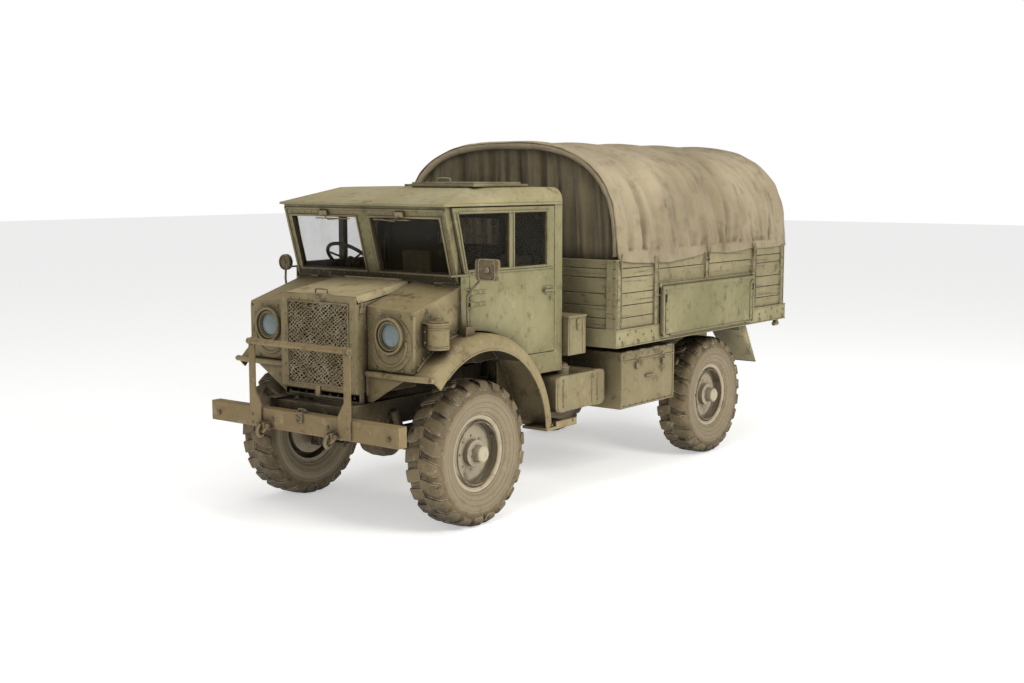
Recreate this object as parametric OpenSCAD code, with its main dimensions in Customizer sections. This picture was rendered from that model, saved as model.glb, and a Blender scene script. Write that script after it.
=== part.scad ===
// Four-wheel-drive military cargo truck with a snub-nosed cab, a planked load
// body and a canvas tilt. Every module is drawn about the middle of the front
// axle: X to the truck's left, Y to the rear, Z up. on_ground() then drops the
// whole truck onto its tyres, with the origin below the middle of its length.

/* [Running gear] */
// Distance from the front axle to the rear axle
wheelbase = 3300; // [2750:10:3960]
// From the middle of the truck to the middle of a tyre
half_track = 836; // [800:2:900]
// Outer radius of a tyre
tyre_r = 525; // [460:5:560]
// Widest part of a tyre
tyre_w = 290; // [240:2:310]
// Radius of the rim where the tyre sits
rim_r = 254; // [240:1:290]
// Width between the two rim flanges
rim_w = 190; // [150:2:210]
// Radius of a wheel spindle
spindle_r = 35; // [28:1:42]
// Radius of a kingpin
kingpin_r = 20; // [16:1:24]
// From the middle of the truck to a kingpin
kingpin_x = 680; // [660:2:690]
// Length of a steering arm behind its kingpin
steering_arm = 200; // [190:2:240]

/* [Chassis] */
// Outside width of the ladder frame
frame_w = 800; // [720:10:840]
// Depth of a frame rail
rail_h = 180; // [140:5:190]
// Width of a rail flange
rail_flange = 70; // [60:2:84]
// Underside of the frame above the axle line
frame_rise = 195; // [180:5:230]
// Width of a leaf spring
spring_w = 60; // [50:2:66]
// Thickness of the pack of spring leaves
spring_t = 45; // [36:1:52]
// Half the length of a leaf spring
spring_half = 500; // [450:10:560]
// Radius of an axle tube
axle_tube_r = 58; // [48:1:64]

/* [Front end] */
// Overall width of the front bumper
bumper_w = 1870; // [1600:10:2200]
// Height of the front bumper
bumper_h = 144; // [120:2:170]
// From the front axle to the front face of the bumper
bumper_y = 822; // [800:2:980]
// Radius of the brush guard tube
guard_tube_r = 22.5; // [18:0.5:27]
// Outside width of the radiator cowl
nose_w = 750; // [640:10:756]
// From the front axle to the front face of the radiator cowl
nose_y = 635; // [600:5:700]
// Radius of a headlamp bezel
lamp_r = 128; // [108:1:150]
// Radius of the top of a front wing about the middle of its arch
arch_r = 815; // [790:5:850]

/* [Cab] */
// Width of the cab at the windscreen
cab_front_w = 1650; // [1640:10:1700]
// Width of the cab at its rear wall
cab_rear_w = 1802; // [1720:10:1900]
// From the front axle to the back of the cab
cab_rear_y = 1073; // [1040:1:1085]
// Thickness of a door and of the cab side
door_t = 40; // [34:1:48]
// Thickness of a sheet metal shell
sheet_t = 12; // [10:1:14]
// Radius of a door hinge pin
hinge_r = 6; // [5:0.5:7]

/* [Load body] */
// Outside width of the load body
body_w = 2270; // [2160:10:2400]
// From the front axle to the front of the load body
body_front_y = 1474; // [1450:2:1500]
// Length of the load body
body_l = 2907; // [2800:1:3100]
// Height of the sill above the axle line
sill_z = 614; // [610:2:640]
// Height of the steel sill
sill_h = 144; // [120:2:170]
// Height of the planked sides above the sill
board_h = 547; // [460:1:600]
// Thickness of a plank
plank_t = 25; // [20:1:30]
// Height of the canvas tilt above the planks
tilt_h = 935; // [780:5:1100]
// Squareness of the tilt's arch, where 2 is an ellipse
tilt_power = 2.78; // [2.2:0.02:3.4]

/* [Fits] */
// Gap between pieces that sit against each other
seat = 0.3; // [0.2:0.1:0.6]
// Radial gap of a running fit
run = 0.05; // [0.02:0.01:0.1]
// Gap round a moving panel
panel_gap = 6; // [5:0.5:10]

/* [Hidden] */
$fn = 64;

// overall placing
bow_r = 34;
bow_t = 10;
bow_tilt = 62;
bow_y = 44;
shackle_reach = bow_y + bow_r * cos(bow_tilt) + bow_t;
tail_reach = 24;
front_reach = bumper_y + shackle_reach;
body_rear_y = body_front_y + body_l;
front_axle_y = -(body_rear_y + tail_reach - front_reach) / 2;
module on_ground() { translate([0, front_axle_y, tyre_r]) children(); }

// frame
rail_t = 8;
frame_x = frame_w / 2;
frame_z0 = frame_rise;
frame_z1 = frame_rise + rail_h;
bumper_t = 81;
rail_front_y = -bumper_y + bumper_t + seat;
rail_rear_y = body_rear_y - 180;
member_l = 60;
member_in = 20;
members_y = [rail_front_y + 40, cab_rear_y - 60, body_front_y + 200, wheelbase - 700,
    wheelbase + 650, rail_rear_y - member_l - 6];
pintle_z = (frame_z0 + frame_z1) / 2;
pintle_r = 20;
pintle_w = 90;

// springs
spring_x = frame_x - rail_flange / 2;
spring_arc_r = 2000;
spring_z0 = axle_tube_r + seat;
spring_span = asin(spring_half / spring_arc_r);
eye_r = 26;
eye_pin_r = 10;
eye_z = spring_z0 + spring_arc_r * (1 - cos(spring_span)) + spring_t / 2;
eye_y = spring_half;
cheek_t = 10;

// wheels
bead_r = rim_r + seat;
flange_r = rim_r + 26;
flange_t = 10;
rim_t = 9;
drum_r = rim_r - 52;
drum_w = 88;
hub_r = 95;
cap_r = 60;
hub_face = 88;
cap_face = 164;
disc_face = 34;
bolt_ring_r = 118;
spindle_end = 94;
hub_back = -86;

// steering
knuckle_r = 42;
knuckle_h = 200;
yoke_t = 26;
yoke_r = 48;
rod_z = -58;
rod_r = 12;
shaft_z = 40;
pinion_y = 180;
rod_pin_r = 9;
column_tilt = 42;
column_r = 22;
wheel_pos = [-520, 250, 1300];
steer_r = 210;
grip_r = 14;

// front end
bumper_z = 160;
guard_y = -bumper_y - seat;
guard_z = 780;
guard_x = 475;
post_w = 60;
nose_z0 = 455;
nose_z1 = 1125;
mesh_z0 = 485;
mesh_z1 = 1070;
mesh_w = 610;
hood_rear_y = -66;
hood_rise = 8.5;
hinge_line_z = 1207;
bay_x = nose_w / 2;
box_in_x = bay_x + 10;
box_out_x = 810;
box_front_y = -530;
box_rear_y = -44 - seat;
box_rise = 16.5;
box_top_z = 1031;
box_top_lift = 27;
lamp_x = 606;
lamp_z = 865;
lens_r = 82;
arch_y = 60;
arch_z = 35;
lip_r = arch_r - 115;
crown_r = 80;
wing_out_x = 990;
wing_in_x = 600;
arch_a0 = 3;
step_z1 = arch_z + lip_r * sin(arch_a0) - seat;
step_z0 = step_z1 - 22;
arch_a1 = 137;

// cab
cab_front_y = -150;
bulkhead_y = [-44, -32];
side_angle = atan((cab_rear_w - cab_front_w) / 2 / (cab_rear_y - cab_front_y));
function sy(y) = (y - cab_front_y) / cos(side_angle);
function side_x(y) = cab_front_w / 2 + (y - cab_front_y) * tan(side_angle);
floor_z0 = 560;
floor_z1 = 585;
cab_z0 = 475;
cover_w = 290;
cover_z1 = 950;
belt_z = 1270;
door_z0 = 635;
door_z1 = 1733;
roof_z0 = 1743;
roof_z1 = 1871;
door_y0 = 45;
door_y1 = 977;
screen_y0 = -33;
screen_z0 = 1188;
screen_lean = 15.5;
screen_t = 45;
screen_l = 590;
screen_w = 1606;
pane_z0 = 76;
pane_z1 = 487;
hinge_out = hinge_r + 6;
hinge_z = [1050, 1135];
wall_t = 33;

// load body
half_body = body_w / 2;
deck_z = sill_z + sill_h;
board_z1 = deck_z + board_h;
post_t = 10;
flap_y0 = 2115;
flap_y1 = 3690;
flap_z0 = 650;
flap_z1 = 1045;
flap_t = 26;
flap_hinge_r = 9;
gate_t = 40;
tilt_x = half_body - post_t;
tilt_z0 = board_z1 + seat;
tilt_t = 8;
hoop_r = 15;
hoop_in = hoop_r + tilt_t + 1;
hoop_foot_x = tilt_x - plank_t - hoop_r - 5;

// ---------------------------------------------------------------- helpers
module slab(x, y, z) {
    translate([x[0], y[0], z[0]]) cube([x[1] - x[0], y[1] - y[0], z[1] - z[0]]);
}
module both() {
    children();
    mirror([1, 0, 0]) children();
}
module only(side) {
    if (side > 0) children();
    else mirror([1, 0, 0]) children();
}
// a profile in the YZ plane, made solid from x0 to x1
module along_x(x0, x1) {
    translate([x0, 0, 0]) rotate([90, 0, 90]) linear_extrude(x1 - x0) children();
}
// a profile in the XZ plane, made solid from y0 to y1
module along_y(y0, y1) {
    translate([0, y1, 0]) rotate([90, 0, 0]) linear_extrude(y1 - y0) children();
}
module rod_x(x0, x1, r) { translate([x0, 0, 0]) rotate([0, 90, 0]) cylinder(r = r, h = x1 - x0); }
module rod_y(y0, y1, r) { translate([0, y1, 0]) rotate([90, 0, 0]) cylinder(r = r, h = y1 - y0); }
module arch_cut(r) {
    translate([0, arch_y, arch_z]) rod_x(-2000, 2000, r, $fn = 128);
}
module arch_band(a0, a1) {
    translate([0, arch_y, arch_z]) rotate([0, 90, 0]) rotate([0, 0, 90 + a0])
        rotate_extrude(angle = a1 - a0, $fn = 128) children();
}
// the left cab side: X points out of the side, Y runs along it
module side_frame() {
    translate([cab_front_w / 2, cab_front_y, 0]) rotate([0, 0, -side_angle]) children();
}
// the windscreen: Y is its thickness, Z runs up the glass
module screen_frame() {
    translate([0, screen_y0, screen_z0]) rotate([screen_lean, 0, 0]) children();
}
// undoes screen_frame()
module screen_back() {
    rotate([-screen_lean, 0, 0]) translate([0, -screen_y0, -screen_z0]) children();
}
module hood_frame() {
    translate([0, hood_rear_y, hinge_line_z]) rotate([hood_rise, 0, 0]) children();
}
module rounded_box(x, y, z, r) {
    along_x(x[0], x[1]) hull() for (j = [y[0] + r, y[1] - r], k = [z[0] + r, z[1] - r])
        translate([j, k]) circle(r = r, $fn = 32);
}

// ---------------------------------------------------------------- chassis
module rail() {
    along_y(rail_front_y, rail_rear_y) polygon([
        [frame_x, frame_z0], [frame_x, frame_z1], [frame_x - rail_flange, frame_z1],
        [frame_x - rail_flange, frame_z1 - rail_t], [frame_x - rail_t, frame_z1 - rail_t],
        [frame_x - rail_t, frame_z0 + rail_t], [frame_x - rail_flange, frame_z0 + rail_t],
        [frame_x - rail_flange, frame_z0]]);
}
module spring_hanger(y) {
    for (s = [-1, 1])
        slab([spring_x + s * (spring_w / 2 + seat + cheek_t / 2) - cheek_t / 2,
              spring_x + s * (spring_w / 2 + seat + cheek_t / 2) + cheek_t / 2],
             [y - 34, y + 34], [eye_z - 22, frame_z0 + rail_t]);
    translate([0, y, eye_z])
        rod_x(spring_x - spring_w / 2 - cheek_t, spring_x + spring_w / 2 + cheek_t, eye_pin_r);
}
module pintle() {
    difference() {
        union() {
            slab([-60, 60], [rail_rear_y - 30, rail_rear_y + 30], [pintle_z - 60, pintle_z + 60]);
            for (k = [-1, 1])
                slab([-45, 45], [rail_rear_y + 20, rail_rear_y + pintle_w + 45],
                     [pintle_z + k * 40 - 12, pintle_z + k * 40 + 12]);
        }
        translate([0, rail_rear_y + pintle_w, pintle_z - 70]) cylinder(r = pintle_r, h = 140);
    }
}
module frame_rails() {
    color("#3c3a2c") {
        both() {
            rail();
            for (axle = [0, wheelbase], s = [-1, 1]) spring_hanger(axle + s * eye_y);
        }
        for (y = members_y)
            slab([-frame_x + rail_t / 2, frame_x - rail_t / 2], [y, y + member_l],
                 [frame_z0 + member_in, frame_z1 - member_in]);
        pintle();
    }
}
module leaf_spring(axle_y) {
    translate([spring_x - spring_w / 2 + 1, axle_y, spring_z0 + spring_arc_r])
        rotate([0, 90, 0]) rotate([0, 0, -spring_span]) rotate_extrude(angle = 2 * spring_span)
            translate([spring_arc_r - spring_t, 0]) square([spring_t, spring_w - 2]);
}
module leaf_springs() {
    color("#35322a") both() for (axle = [0, wheelbase]) difference() {
        union() {
            leaf_spring(axle);
            for (s = [-1, 1]) translate([0, axle + s * eye_y, eye_z])
                rod_x(spring_x - spring_w / 2, spring_x + spring_w / 2, eye_r);
        }
        for (s = [-1, 1]) translate([0, axle + s * eye_y, eye_z])
            rod_x(spring_x - spring_w, spring_x + spring_w, eye_pin_r + seat);
    }
}
// axle tube with its differential housing and spring pads
module axle_body(tube_end) {
    rod_x(-tube_end, tube_end, axle_tube_r);
    rotate([0, 90, 0]) rotate_extrude() polygon([
        [0, -165], [70, -160], [118, -110], [132, -45], [132, 45], [118, 110], [70, 160], [0, 165]]);
}
module front_axle() {
    web = kingpin_x - yoke_r - 6;
    color("#3a382b") difference() {
        union() {
            axle_body(web);
            translate([0, 0, shaft_z]) rod_y(60, pinion_y, 50);
            both() {
                slab([web - 14, web + 10], [-46, 46],
                     [-knuckle_h / 2 - yoke_t - 2, knuckle_h / 2 + yoke_t + 2]);
                for (k = [-1, 1]) translate([0, 0, k * (knuckle_h / 2 + 2 + yoke_t / 2)]) {
                    translate([kingpin_x, 0, -yoke_t / 2]) cylinder(r = yoke_r, h = yoke_t);
                    slab([web, kingpin_x], [-yoke_r + 2, yoke_r - 2], [-yoke_t / 2, yoke_t / 2]);
                }
            }
        }
        both() translate([kingpin_x, 0, -300]) cylinder(r = kingpin_r + run, h = 600);
    }
}
module rear_axle() {
    color("#3a382b") translate([0, wheelbase, 0]) {
        axle_body(half_track + hub_back - 12);
        translate([0, 0, shaft_z]) rod_y(-pinion_y, -60, 50);
        both() {
            rod_x(half_track + hub_back - 30, half_track + hub_back - 6, 90);
            rod_x(half_track + hub_back - 12, half_track + spindle_end, spindle_r);
        }
    }
}
module knuckle() {
    color("#3a382b") union() {
        translate([kingpin_x, 0, -knuckle_h / 2]) cylinder(r = knuckle_r, h = knuckle_h);
        translate([kingpin_x, 0, -knuckle_h / 2 - yoke_t])
            cylinder(r = kingpin_r, h = knuckle_h + 2 * yoke_t);
        rod_x(kingpin_x, half_track + hub_back - 6, 60);
        rod_x(kingpin_x, half_track + spindle_end, spindle_r);
        slab([kingpin_x - 16, kingpin_x + 16], [0, steering_arm], [rod_z - 35, rod_z - 13]);
        translate([kingpin_x, steering_arm, rod_z - 35]) cylinder(r = 24, h = 22);
        translate([kingpin_x, steering_arm, rod_z - 35]) cylinder(r = rod_pin_r, h = 50);
    }
}
module tie_rod() {
    color("#45412f") translate([0, steering_arm, rod_z]) difference() {
        union() {
            rod_x(-kingpin_x + 18, kingpin_x - 18, rod_r);
            both() translate([kingpin_x, 0, -11]) cylinder(r = 22, h = 22);
        }
        both() translate([kingpin_x, 0, -40]) cylinder(r = rod_pin_r + run, h = 80);
    }
}
module powertrain() {
    color("#4a4a40") union() {
        slab([-230, 230], [-470, 330], [200, 860]);
        slab([-140, 140], [330, 820], [150, 470]);
        slab([-150, 150], [820, 985], [-20, 470]);
        slab([-150, 150], [984, 1100], [-20, 180]);
    }
}
module propshafts() {
    color("#3a382b") {
        translate([0, 0, shaft_z]) {
            rod_y(pinion_y + seat, 820 - seat, 28);
            translate([0, pinion_y + seat, 0]) rod_y(0, 40, 48);
            rod_y(1100 + seat, wheelbase - pinion_y - seat, 32);
            translate([0, wheelbase - pinion_y - 40 - seat, 0]) rod_y(0, 40, 48);
            translate([0, 1100 + seat, 0]) rod_y(0, 40, 50);
            translate([0, 780 - seat, 0]) rod_y(0, 40, 48);
        }
    }
}
module exhaust() {
    pipe_x = -285;
    pipe_z = 90;
    color("#4a3a2c") translate([pipe_x, 0, pipe_z]) {
        rod_y(150, 1500, 24);
        rod_y(1480, 2080, 74);
        rod_y(2070, 2560, 22);
        for (y = [members_y[1] + 20, members_y[2] + 20])
            slab([-12, 12], [y, y + 24], [0, frame_z0 + member_in - seat - pipe_z]);
    }
}

// ---------------------------------------------------------------- wheels
module tyre(axle_y) {
    bulge = tyre_w / 2;
    bead = rim_w / 2 - seat;
    color("#5c5444") translate([half_track, axle_y, 0]) rotate([0, 90, 0]) rotate_extrude($fn = 96)
        polygon([
            [bead_r, -bead], [flange_r + 4, -bead], [rim_r + 66, -bulge + 15], [rim_r + 136, -bulge],
            [tyre_r - 70, -bulge + 3], [tyre_r - 20, -bulge + 13], [tyre_r, -bulge + 32],
            [tyre_r, bulge - 32], [tyre_r - 20, bulge - 13], [tyre_r - 70, bulge - 3],
            [rim_r + 136, bulge], [rim_r + 66, bulge - 15], [flange_r + 4, bead], [bead_r, bead]]);
}
// rim, dished disc, hub and brake drum of one wheel, turned about its spindle
module wheel(axle_y) {
    half = rim_w / 2;
    color("#5d573f") translate([half_track, axle_y, 0]) rotate([0, 90, 0]) rotate_extrude($fn = 96)
        polygon([
            [spindle_r + run, hub_back], [drum_r, hub_back], [drum_r, hub_back + drum_w],
            [150, hub_back + drum_w], [150, disc_face - 14], [rim_r - 40, disc_face - 22],
            [rim_r - rim_t, disc_face - 50], [rim_r - rim_t, -half], [flange_r - 6, -half - flange_t + 2],
            [flange_r - 6, -half - flange_t], [flange_r, -half - flange_t], [flange_r, -half],
            [rim_r, -half], [rim_r, half], [flange_r, half], [flange_r, half + flange_t],
            [flange_r - 8, half + flange_t], [rim_r - rim_t, half],
            [rim_r - rim_t, disc_face - 12], [rim_r - 60, disc_face + 4], [hub_r + 50, disc_face],
            [hub_r, disc_face + 10], [hub_r, hub_face], [cap_r, hub_face + 8],
            [cap_r, cap_face - 10], [cap_r - 12, cap_face], [0, cap_face],
            [0, spindle_end + 3], [spindle_r + run, spindle_end + 3]]);
}

// ---------------------------------------------------------------- front end
module shackle() {
    translate([340, -bumper_y, bumper_z + 25]) {
        for (s = [-1, 1]) slab([s * 24 - 7, s * 24 + 7], [-62, 4], [-26, 26]);
        translate([0, -40, 0]) rod_x(-40, 40, 11);
        translate([0, -bow_y, -14]) rotate([bow_tilt, 0, 0]) rotate([0, 0, 180])
            rotate_extrude(angle = 180) translate([bow_r, 0]) circle(r = bow_t);
    }
}
module front_bumper() {
    color("#6b6649") {
        slab([-bumper_w / 2, bumper_w / 2], [-bumper_y, -bumper_y + bumper_t],
             [bumper_z, bumper_z + bumper_h]);
        both() shackle();
        both() translate([850, 0, bumper_z + 60]) rod_y(-bumper_y - 12, -bumper_y + 4, 13, $fn = 6);
    }
}
module brush_guard() {
    post_y = [guard_y - 12, guard_y];
    color("#6b6649") {
        both() {
            slab([guard_x - post_w / 2, guard_x + post_w / 2], post_y, [bumper_z + 6, guard_z]);
            along_y(post_y[0], post_y[1]) polygon([
                [guard_x, bumper_z + bumper_h + 170], [guard_x, bumper_z + 6],
                [guard_x - 90, bumper_z + 6], [guard_x - 90, bumper_z + bumper_h + 20]]);
        }
        translate([0, guard_y - 10, guard_z]) rod_x(-guard_x - 34, guard_x + 34, guard_tube_r);
    }
}
module nose_cowl() {
    front = [-nose_y, -nose_y + sheet_t];
    wall_top = 1070;
    color("#6e6a4e") {
        difference() {
            union() {
                slab([-bay_x, bay_x], front, [nose_z0, nose_z1]);
                translate([0, 0, nose_z1 - 1600]) intersection() {
                    along_y(front[0], front[1]) circle(r = 1612, $fn = 256);
                    slab([-bay_x, bay_x], front, [1590, 1620]);
                }
            }
            slab([-mesh_w / 2, mesh_w / 2], [front[0] - 1, front[1] + 1], [mesh_z0, mesh_z1]);
        }
        both() along_x(bay_x - sheet_t, bay_x) polygon([
            [front[0], nose_z0], [front[0], wall_top], [box_rear_y, wall_top + 80],
            [box_rear_y, floor_z1 + 60], [-380, nose_z0]]);
        slab([-bay_x + 1, bay_x - 1], [-600, -560], [frame_z1 + seat, nose_z0 + 10]);
        slab([-bay_x + 1, bay_x - 1], [-nose_y + 2, -560], [nose_z0 - 8, nose_z0 + 10]);
        translate([0, -nose_y - 6, nose_z1 - 30]) rod_y(0, 16, 24);
    }
}
module grille_mesh() {
    color("#4e4a36") slab([-mesh_w / 2 + seat, mesh_w / 2 - seat], [-nose_y + 2, -nose_y + 10],
                          [mesh_z0 + seat, mesh_z1 - seat]);
}
module radiator() {
    color("#2e2c24") slab([-300, 300], [-560 + seat, -495], [frame_z1 + seat, 1040]);
}
// solid form of one wing box, inset by t on every side but its rear
module box_form(t) {
    intersection() {
        translate([0, box_front_y, box_top_z]) rotate([box_rise, 0, 0]) along_y(-400, 900) polygon([
            [box_in_x + t, -600], [box_in_x + t, box_top_lift - t],
            [box_out_x - t, -t], [box_out_x - t, -600]]);
        slab([0, 1000], [box_front_y + t, box_rear_y - t], [500, 1400]);
    }
}
module wing_boxes() {
    color("#6e6a4e") both() difference() {
        union() {
            difference() {
                box_form(0);
                box_form(sheet_t);
            }
            intersection() {
                translate([600, 0, 810]) rod_y(box_front_y - 6, box_front_y + 6, 195);
                slab([box_in_x, box_out_x], [box_front_y - 6, box_front_y + 6], [615, 1040]);
            }
        }
        translate([lamp_x, 0, lamp_z]) rod_y(box_front_y - 20, box_front_y + 20, lamp_r - 10);
        arch_cut(arch_r + seat);
        slab([0, 1000], [-1000, 0], [0, 615]);
    }
}
// one front wing: crowned top, rolled lip, front roll and inner wall
module front_fender() {
    crown_x = wing_out_x - crown_r;
    crown_c = arch_r - crown_r;
    color("#6e6a4e") difference() {
        union() {
            arch_band(arch_a0, arch_a1) polygon(concat(
                [[arch_r, wing_in_x]],
                [for (a = [0:15:90]) [crown_c + crown_r * cos(a), crown_x + crown_r * sin(a)]],
                [[lip_r, wing_out_x], [lip_r, wing_out_x - sheet_t]],
                [for (a = [90:-15:0]) [crown_c + (crown_r - sheet_t) * cos(a),
                                       crown_x + (crown_r - sheet_t) * sin(a)]],
                [[arch_r - sheet_t, wing_in_x]]));
            arch_band(98, arch_a1) translate([arch_r - sheet_t + 1, box_in_x])
                square([sheet_t - 2, wing_in_x - box_in_x + 10]);
            translate([0, arch_y + (arch_r - 10) * cos(arch_a1), arch_z + (arch_r - 10) * sin(arch_a1)])
                rod_x(box_in_x + 1.5, wing_out_x - 6, 17);
            intersection() {
                translate([0, arch_y, arch_z])
                    rod_x(wing_in_x + 1, wing_in_x + 1 + sheet_t, arch_r - 4, $fn = 128);
                union() {
                    slab([0, 1000], [box_rear_y, 900], [floor_z1 + seat, 1000]);
                    slab([0, 1000], [640, 872], [90, floor_z0 - seat]);
                }
            }
            intersection() {
                translate([0, arch_y, arch_z])
                    rod_x(box_in_x + 1, box_in_x + 1 + sheet_t, arch_r - 4, $fn = 128);
                slab([0, 1000], [-700, box_rear_y], [nose_z0 - 20, 1000]);
            }
        }
        slab([0, wing_out_x - 2], [-1000, box_front_y - 22], [0, 1000]);
    }
    // the splash plate below the roll, widest beside the frame
    color("#6e6a4e") intersection() {
        along_x(box_in_x + 4, 770) polygon([
            [box_front_y - 12, 578], [box_front_y - 2, 578],
            [box_front_y - 2, frame_z1 + 12], [box_front_y - 12, frame_z1 + 12]]);
        along_y(-700, -400) polygon([[300, 300], [430, frame_z1 + 12], [770, 590], [300, 590]]);
    }
}
module lamps() {
    color("#7a745a") both() translate([lamp_x, box_front_y, lamp_z]) difference() {
        union() {
            rod_y(-28, -6 - seat, lamp_r);
            rod_y(-20, 90, lamp_r - 10 - seat);
        }
        rod_y(-40, -12, lamp_r - 16);
        rod_y(-40, 20, lens_r + seat);
        rod_y(-20, 76, lens_r - 8);
    }
}
module lamp_lenses() {
    color("#93a3a6") both() translate([lamp_x, box_front_y, lamp_z]) rod_y(8, 20 - seat, lens_r);
}
module side_canister() {
    color("#716d52") difference() {
        union() {
            translate([898, -375, 780]) cylinder(r = 78, h = 180);
            translate([898, -375, 952]) cylinder(r = 84, h = 12);
            slab([box_out_x + seat, 880], [-450, -300], [958, 966]);
            slab([box_out_x + seat, 850], [-420, -330], [800, 940]);
        }
    }
}
module mirrors() {
    color("#55503c") {
        both() difference() {
            slab([850, 906], [-80, 10], [800, 905]);
            arch_cut(arch_r + seat);
        }
        chain([[880, -30, 900], [886, -50, 1010], [910, -75, 1110], [965, -85, 1180],
               [1050, -95, 1250], [1110, -105, 1317]], 8);
        translate([1120, -108, 1317]) rotate([0, 0, 12]) along_y(-12, 12)
            hull() for (i = [-1, 1], k = [-1, 1]) translate([i * 68, k * 52]) circle(r = 22, $fn = 32);
        chain([[-880, -40, 900], [-915, -60, 1000], [-970, -30, 1160], [-985, -12, 1230]], 9);
        translate([-985, -8, 1285]) rod_y(-14, 14, 62);
    }
}
// a bent rod through a list of points
module chain(points, r) {
    for (i = [0:len(points) - 2]) hull() for (p = [points[i], points[i + 1]])
        translate(p) sphere(r = r, $fn = 12);
}

// ---------------------------------------------------------------- cab
module hinge_lugs() {
    side_frame() translate([hinge_out, sy(door_y0) - panel_gap / 2, 0]) for (z = hinge_z) {
        translate([0, 0, z - 26]) cylinder(r = hinge_r, h = 52);
        for (k = [-1, 1]) translate([0, 0, z + k * 21]) {
            translate([0, 0, -5]) cylinder(r = hinge_r + 5, h = 10);
            slab([-hinge_out - 1, 0], [-34, 0], [-5, 5]);
        }
    }
}
module cab_cowl() {
    cowl_z0 = floor_z1 + seat;
    color("#6c684c") {
        difference() {
            union() {
                slab([-wing_in_x + 1, wing_in_x - 1], bulkhead_y, [cowl_z0, screen_z0 - seat]);
                slab([-790, 790], [bulkhead_y[0], 10], [screen_z0 - 40, screen_z0 - seat]);
                slab([-780, 780], [9, 90], [screen_z0 - 190, screen_z0 - 20]);
            }
            slab([-cover_w + sheet_t, cover_w - sheet_t], [bulkhead_y[0] - 1, 0], [0, cover_z1 - sheet_t]);
            translate(wheel_pos) rotate([-column_tilt, 0, 0])
                translate([0, 0, -400]) cylinder(r = column_r + seat, h = 500);
        }
        both() difference() {
            union() {
                side_frame() slab([-door_t, 0], [sy(bulkhead_y[0]), sy(door_y0) - panel_gap],
                                  [cowl_z0, belt_z - panel_gap]);
                slab([500, side_x(bulkhead_y[0]) - 20], bulkhead_y, [cowl_z0, screen_z0 - seat]);
                hinge_lugs();
            }
            arch_cut(arch_r + seat);
            translate([0, 0, screen_z0]) screen_shadow();
        }
        both() for (s = [250]) translate([s, hood_rear_y, hinge_line_z]) {
            rod_x(20, 40, 9);
            rod_x(-20, 30, 4);
            slab([20, 40], [0, 25], [-30, 9]);
        }
    }
}
// room taken by the windscreen frame above the cowl
module screen_shadow() {
    translate([0, 0, -screen_z0]) screen_frame()
        slab([-screen_w / 2 - 20, screen_w / 2 + 20], [-40, screen_t + seat], [-seat, screen_l]);
}
// floor between the cab sides, reaching e into their inner faces
module floor_wing(y, e) {
    intersection() {
        slab([-1000, 1000], y, [floor_z0, floor_z1]);
        both() side_frame() slab([-1200, -door_t + e], [0, 2000], [0, 1000]);
    }
}
module cab_floor() {
    color("#5a563f") {
        difference() {
            union() {
                slab([-wing_in_x, wing_in_x], [-44, cab_rear_y - wall_t - seat], [floor_z0, floor_z1]);
                floor_wing([700, door_y1 + panel_gap - 1], 1);
                floor_wing([700, cab_rear_y - wall_t - seat], -seat);
                both() side_frame() slab([-door_t, 0],
                    [sy(600), sy(door_y1 + panel_gap)], [cab_z0, door_z0 - panel_gap]);
            }
            slab([-cover_w + 20, cover_w - 20], [-30, 640], [floor_z0 - 1, floor_z1 + 1]);
            slab([-200, 200], [639, 1000], [floor_z0 - 200, floor_z0]);
            arch_cut(arch_r + seat);
        }
        both() slab([frame_x - 60, frame_x - 20], [860, 900], [frame_z1 + seat, floor_z0 + 1]);
        both() difference() {
            slab([330, 700], [600, 980], [floor_z1 - 1, 860]);
            slab([342, 688], [612, 968], [floor_z1 - 2, 848]);
            arch_cut(arch_r + seat + 4);
        }
    }
}
module engine_cover() {
    color("#625d45") difference() {
        slab([-cover_w, cover_w], [bulkhead_y[1] + seat, 700], [floor_z1 + seat, cover_z1]);
        slab([-cover_w + sheet_t, cover_w - sheet_t], [-40, 688], [floor_z1 - 1, cover_z1 - sheet_t]);
    }
}
module cab_back() {
    rear_in = cab_rear_y - wall_t;
    color("#6c684c") difference() {
        union() {
            slab([-side_x(cab_rear_y) + 10, side_x(cab_rear_y) - 10], [rear_in, cab_rear_y],
                 [cab_z0 + 1, roof_z0 - seat]);
            both() intersection() {
                side_frame() slab([-door_t, 0], [sy(door_y1 + panel_gap) + seat, 3000],
                                  [cab_z0, roof_z0 - seat]);
                slab([0, 1000], [0, cab_rear_y], [0, 2000]);
            }
        }
        slab([-310, 310], [rear_in - 1, cab_rear_y + 1], [1420, 1620]);
        slab([-650, 650], [rear_in - 1, cab_rear_y + 1], [cab_z0 - 1, floor_z0 - 60]);
    }
}
module roof_form(t) {
    hull() {
        linear_extrude(height = 16 - t / 2) polygon([
            [-side_x(-215) + t, -215 + t], [side_x(-215) - t, -215 + t],
            [side_x(cab_rear_y) - t, cab_rear_y - t], [-side_x(cab_rear_y) + t, cab_rear_y - t]]);
        both() {
            translate([side_x(cab_rear_y) - 98, 0, roof_z1 - roof_z0 - 98])
                rod_y(cab_rear_y - 2 - t, cab_rear_y - 1 - t, 98 - t, $fn = 32);
            translate([640, 270, roof_z1 - roof_z0 - 62]) sphere(r = 60 - t, $fn = 24);
            translate([740, 560, roof_z1 - roof_z0 - 80]) sphere(r = 80 - t, $fn = 24);
        }
    }
}
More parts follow.
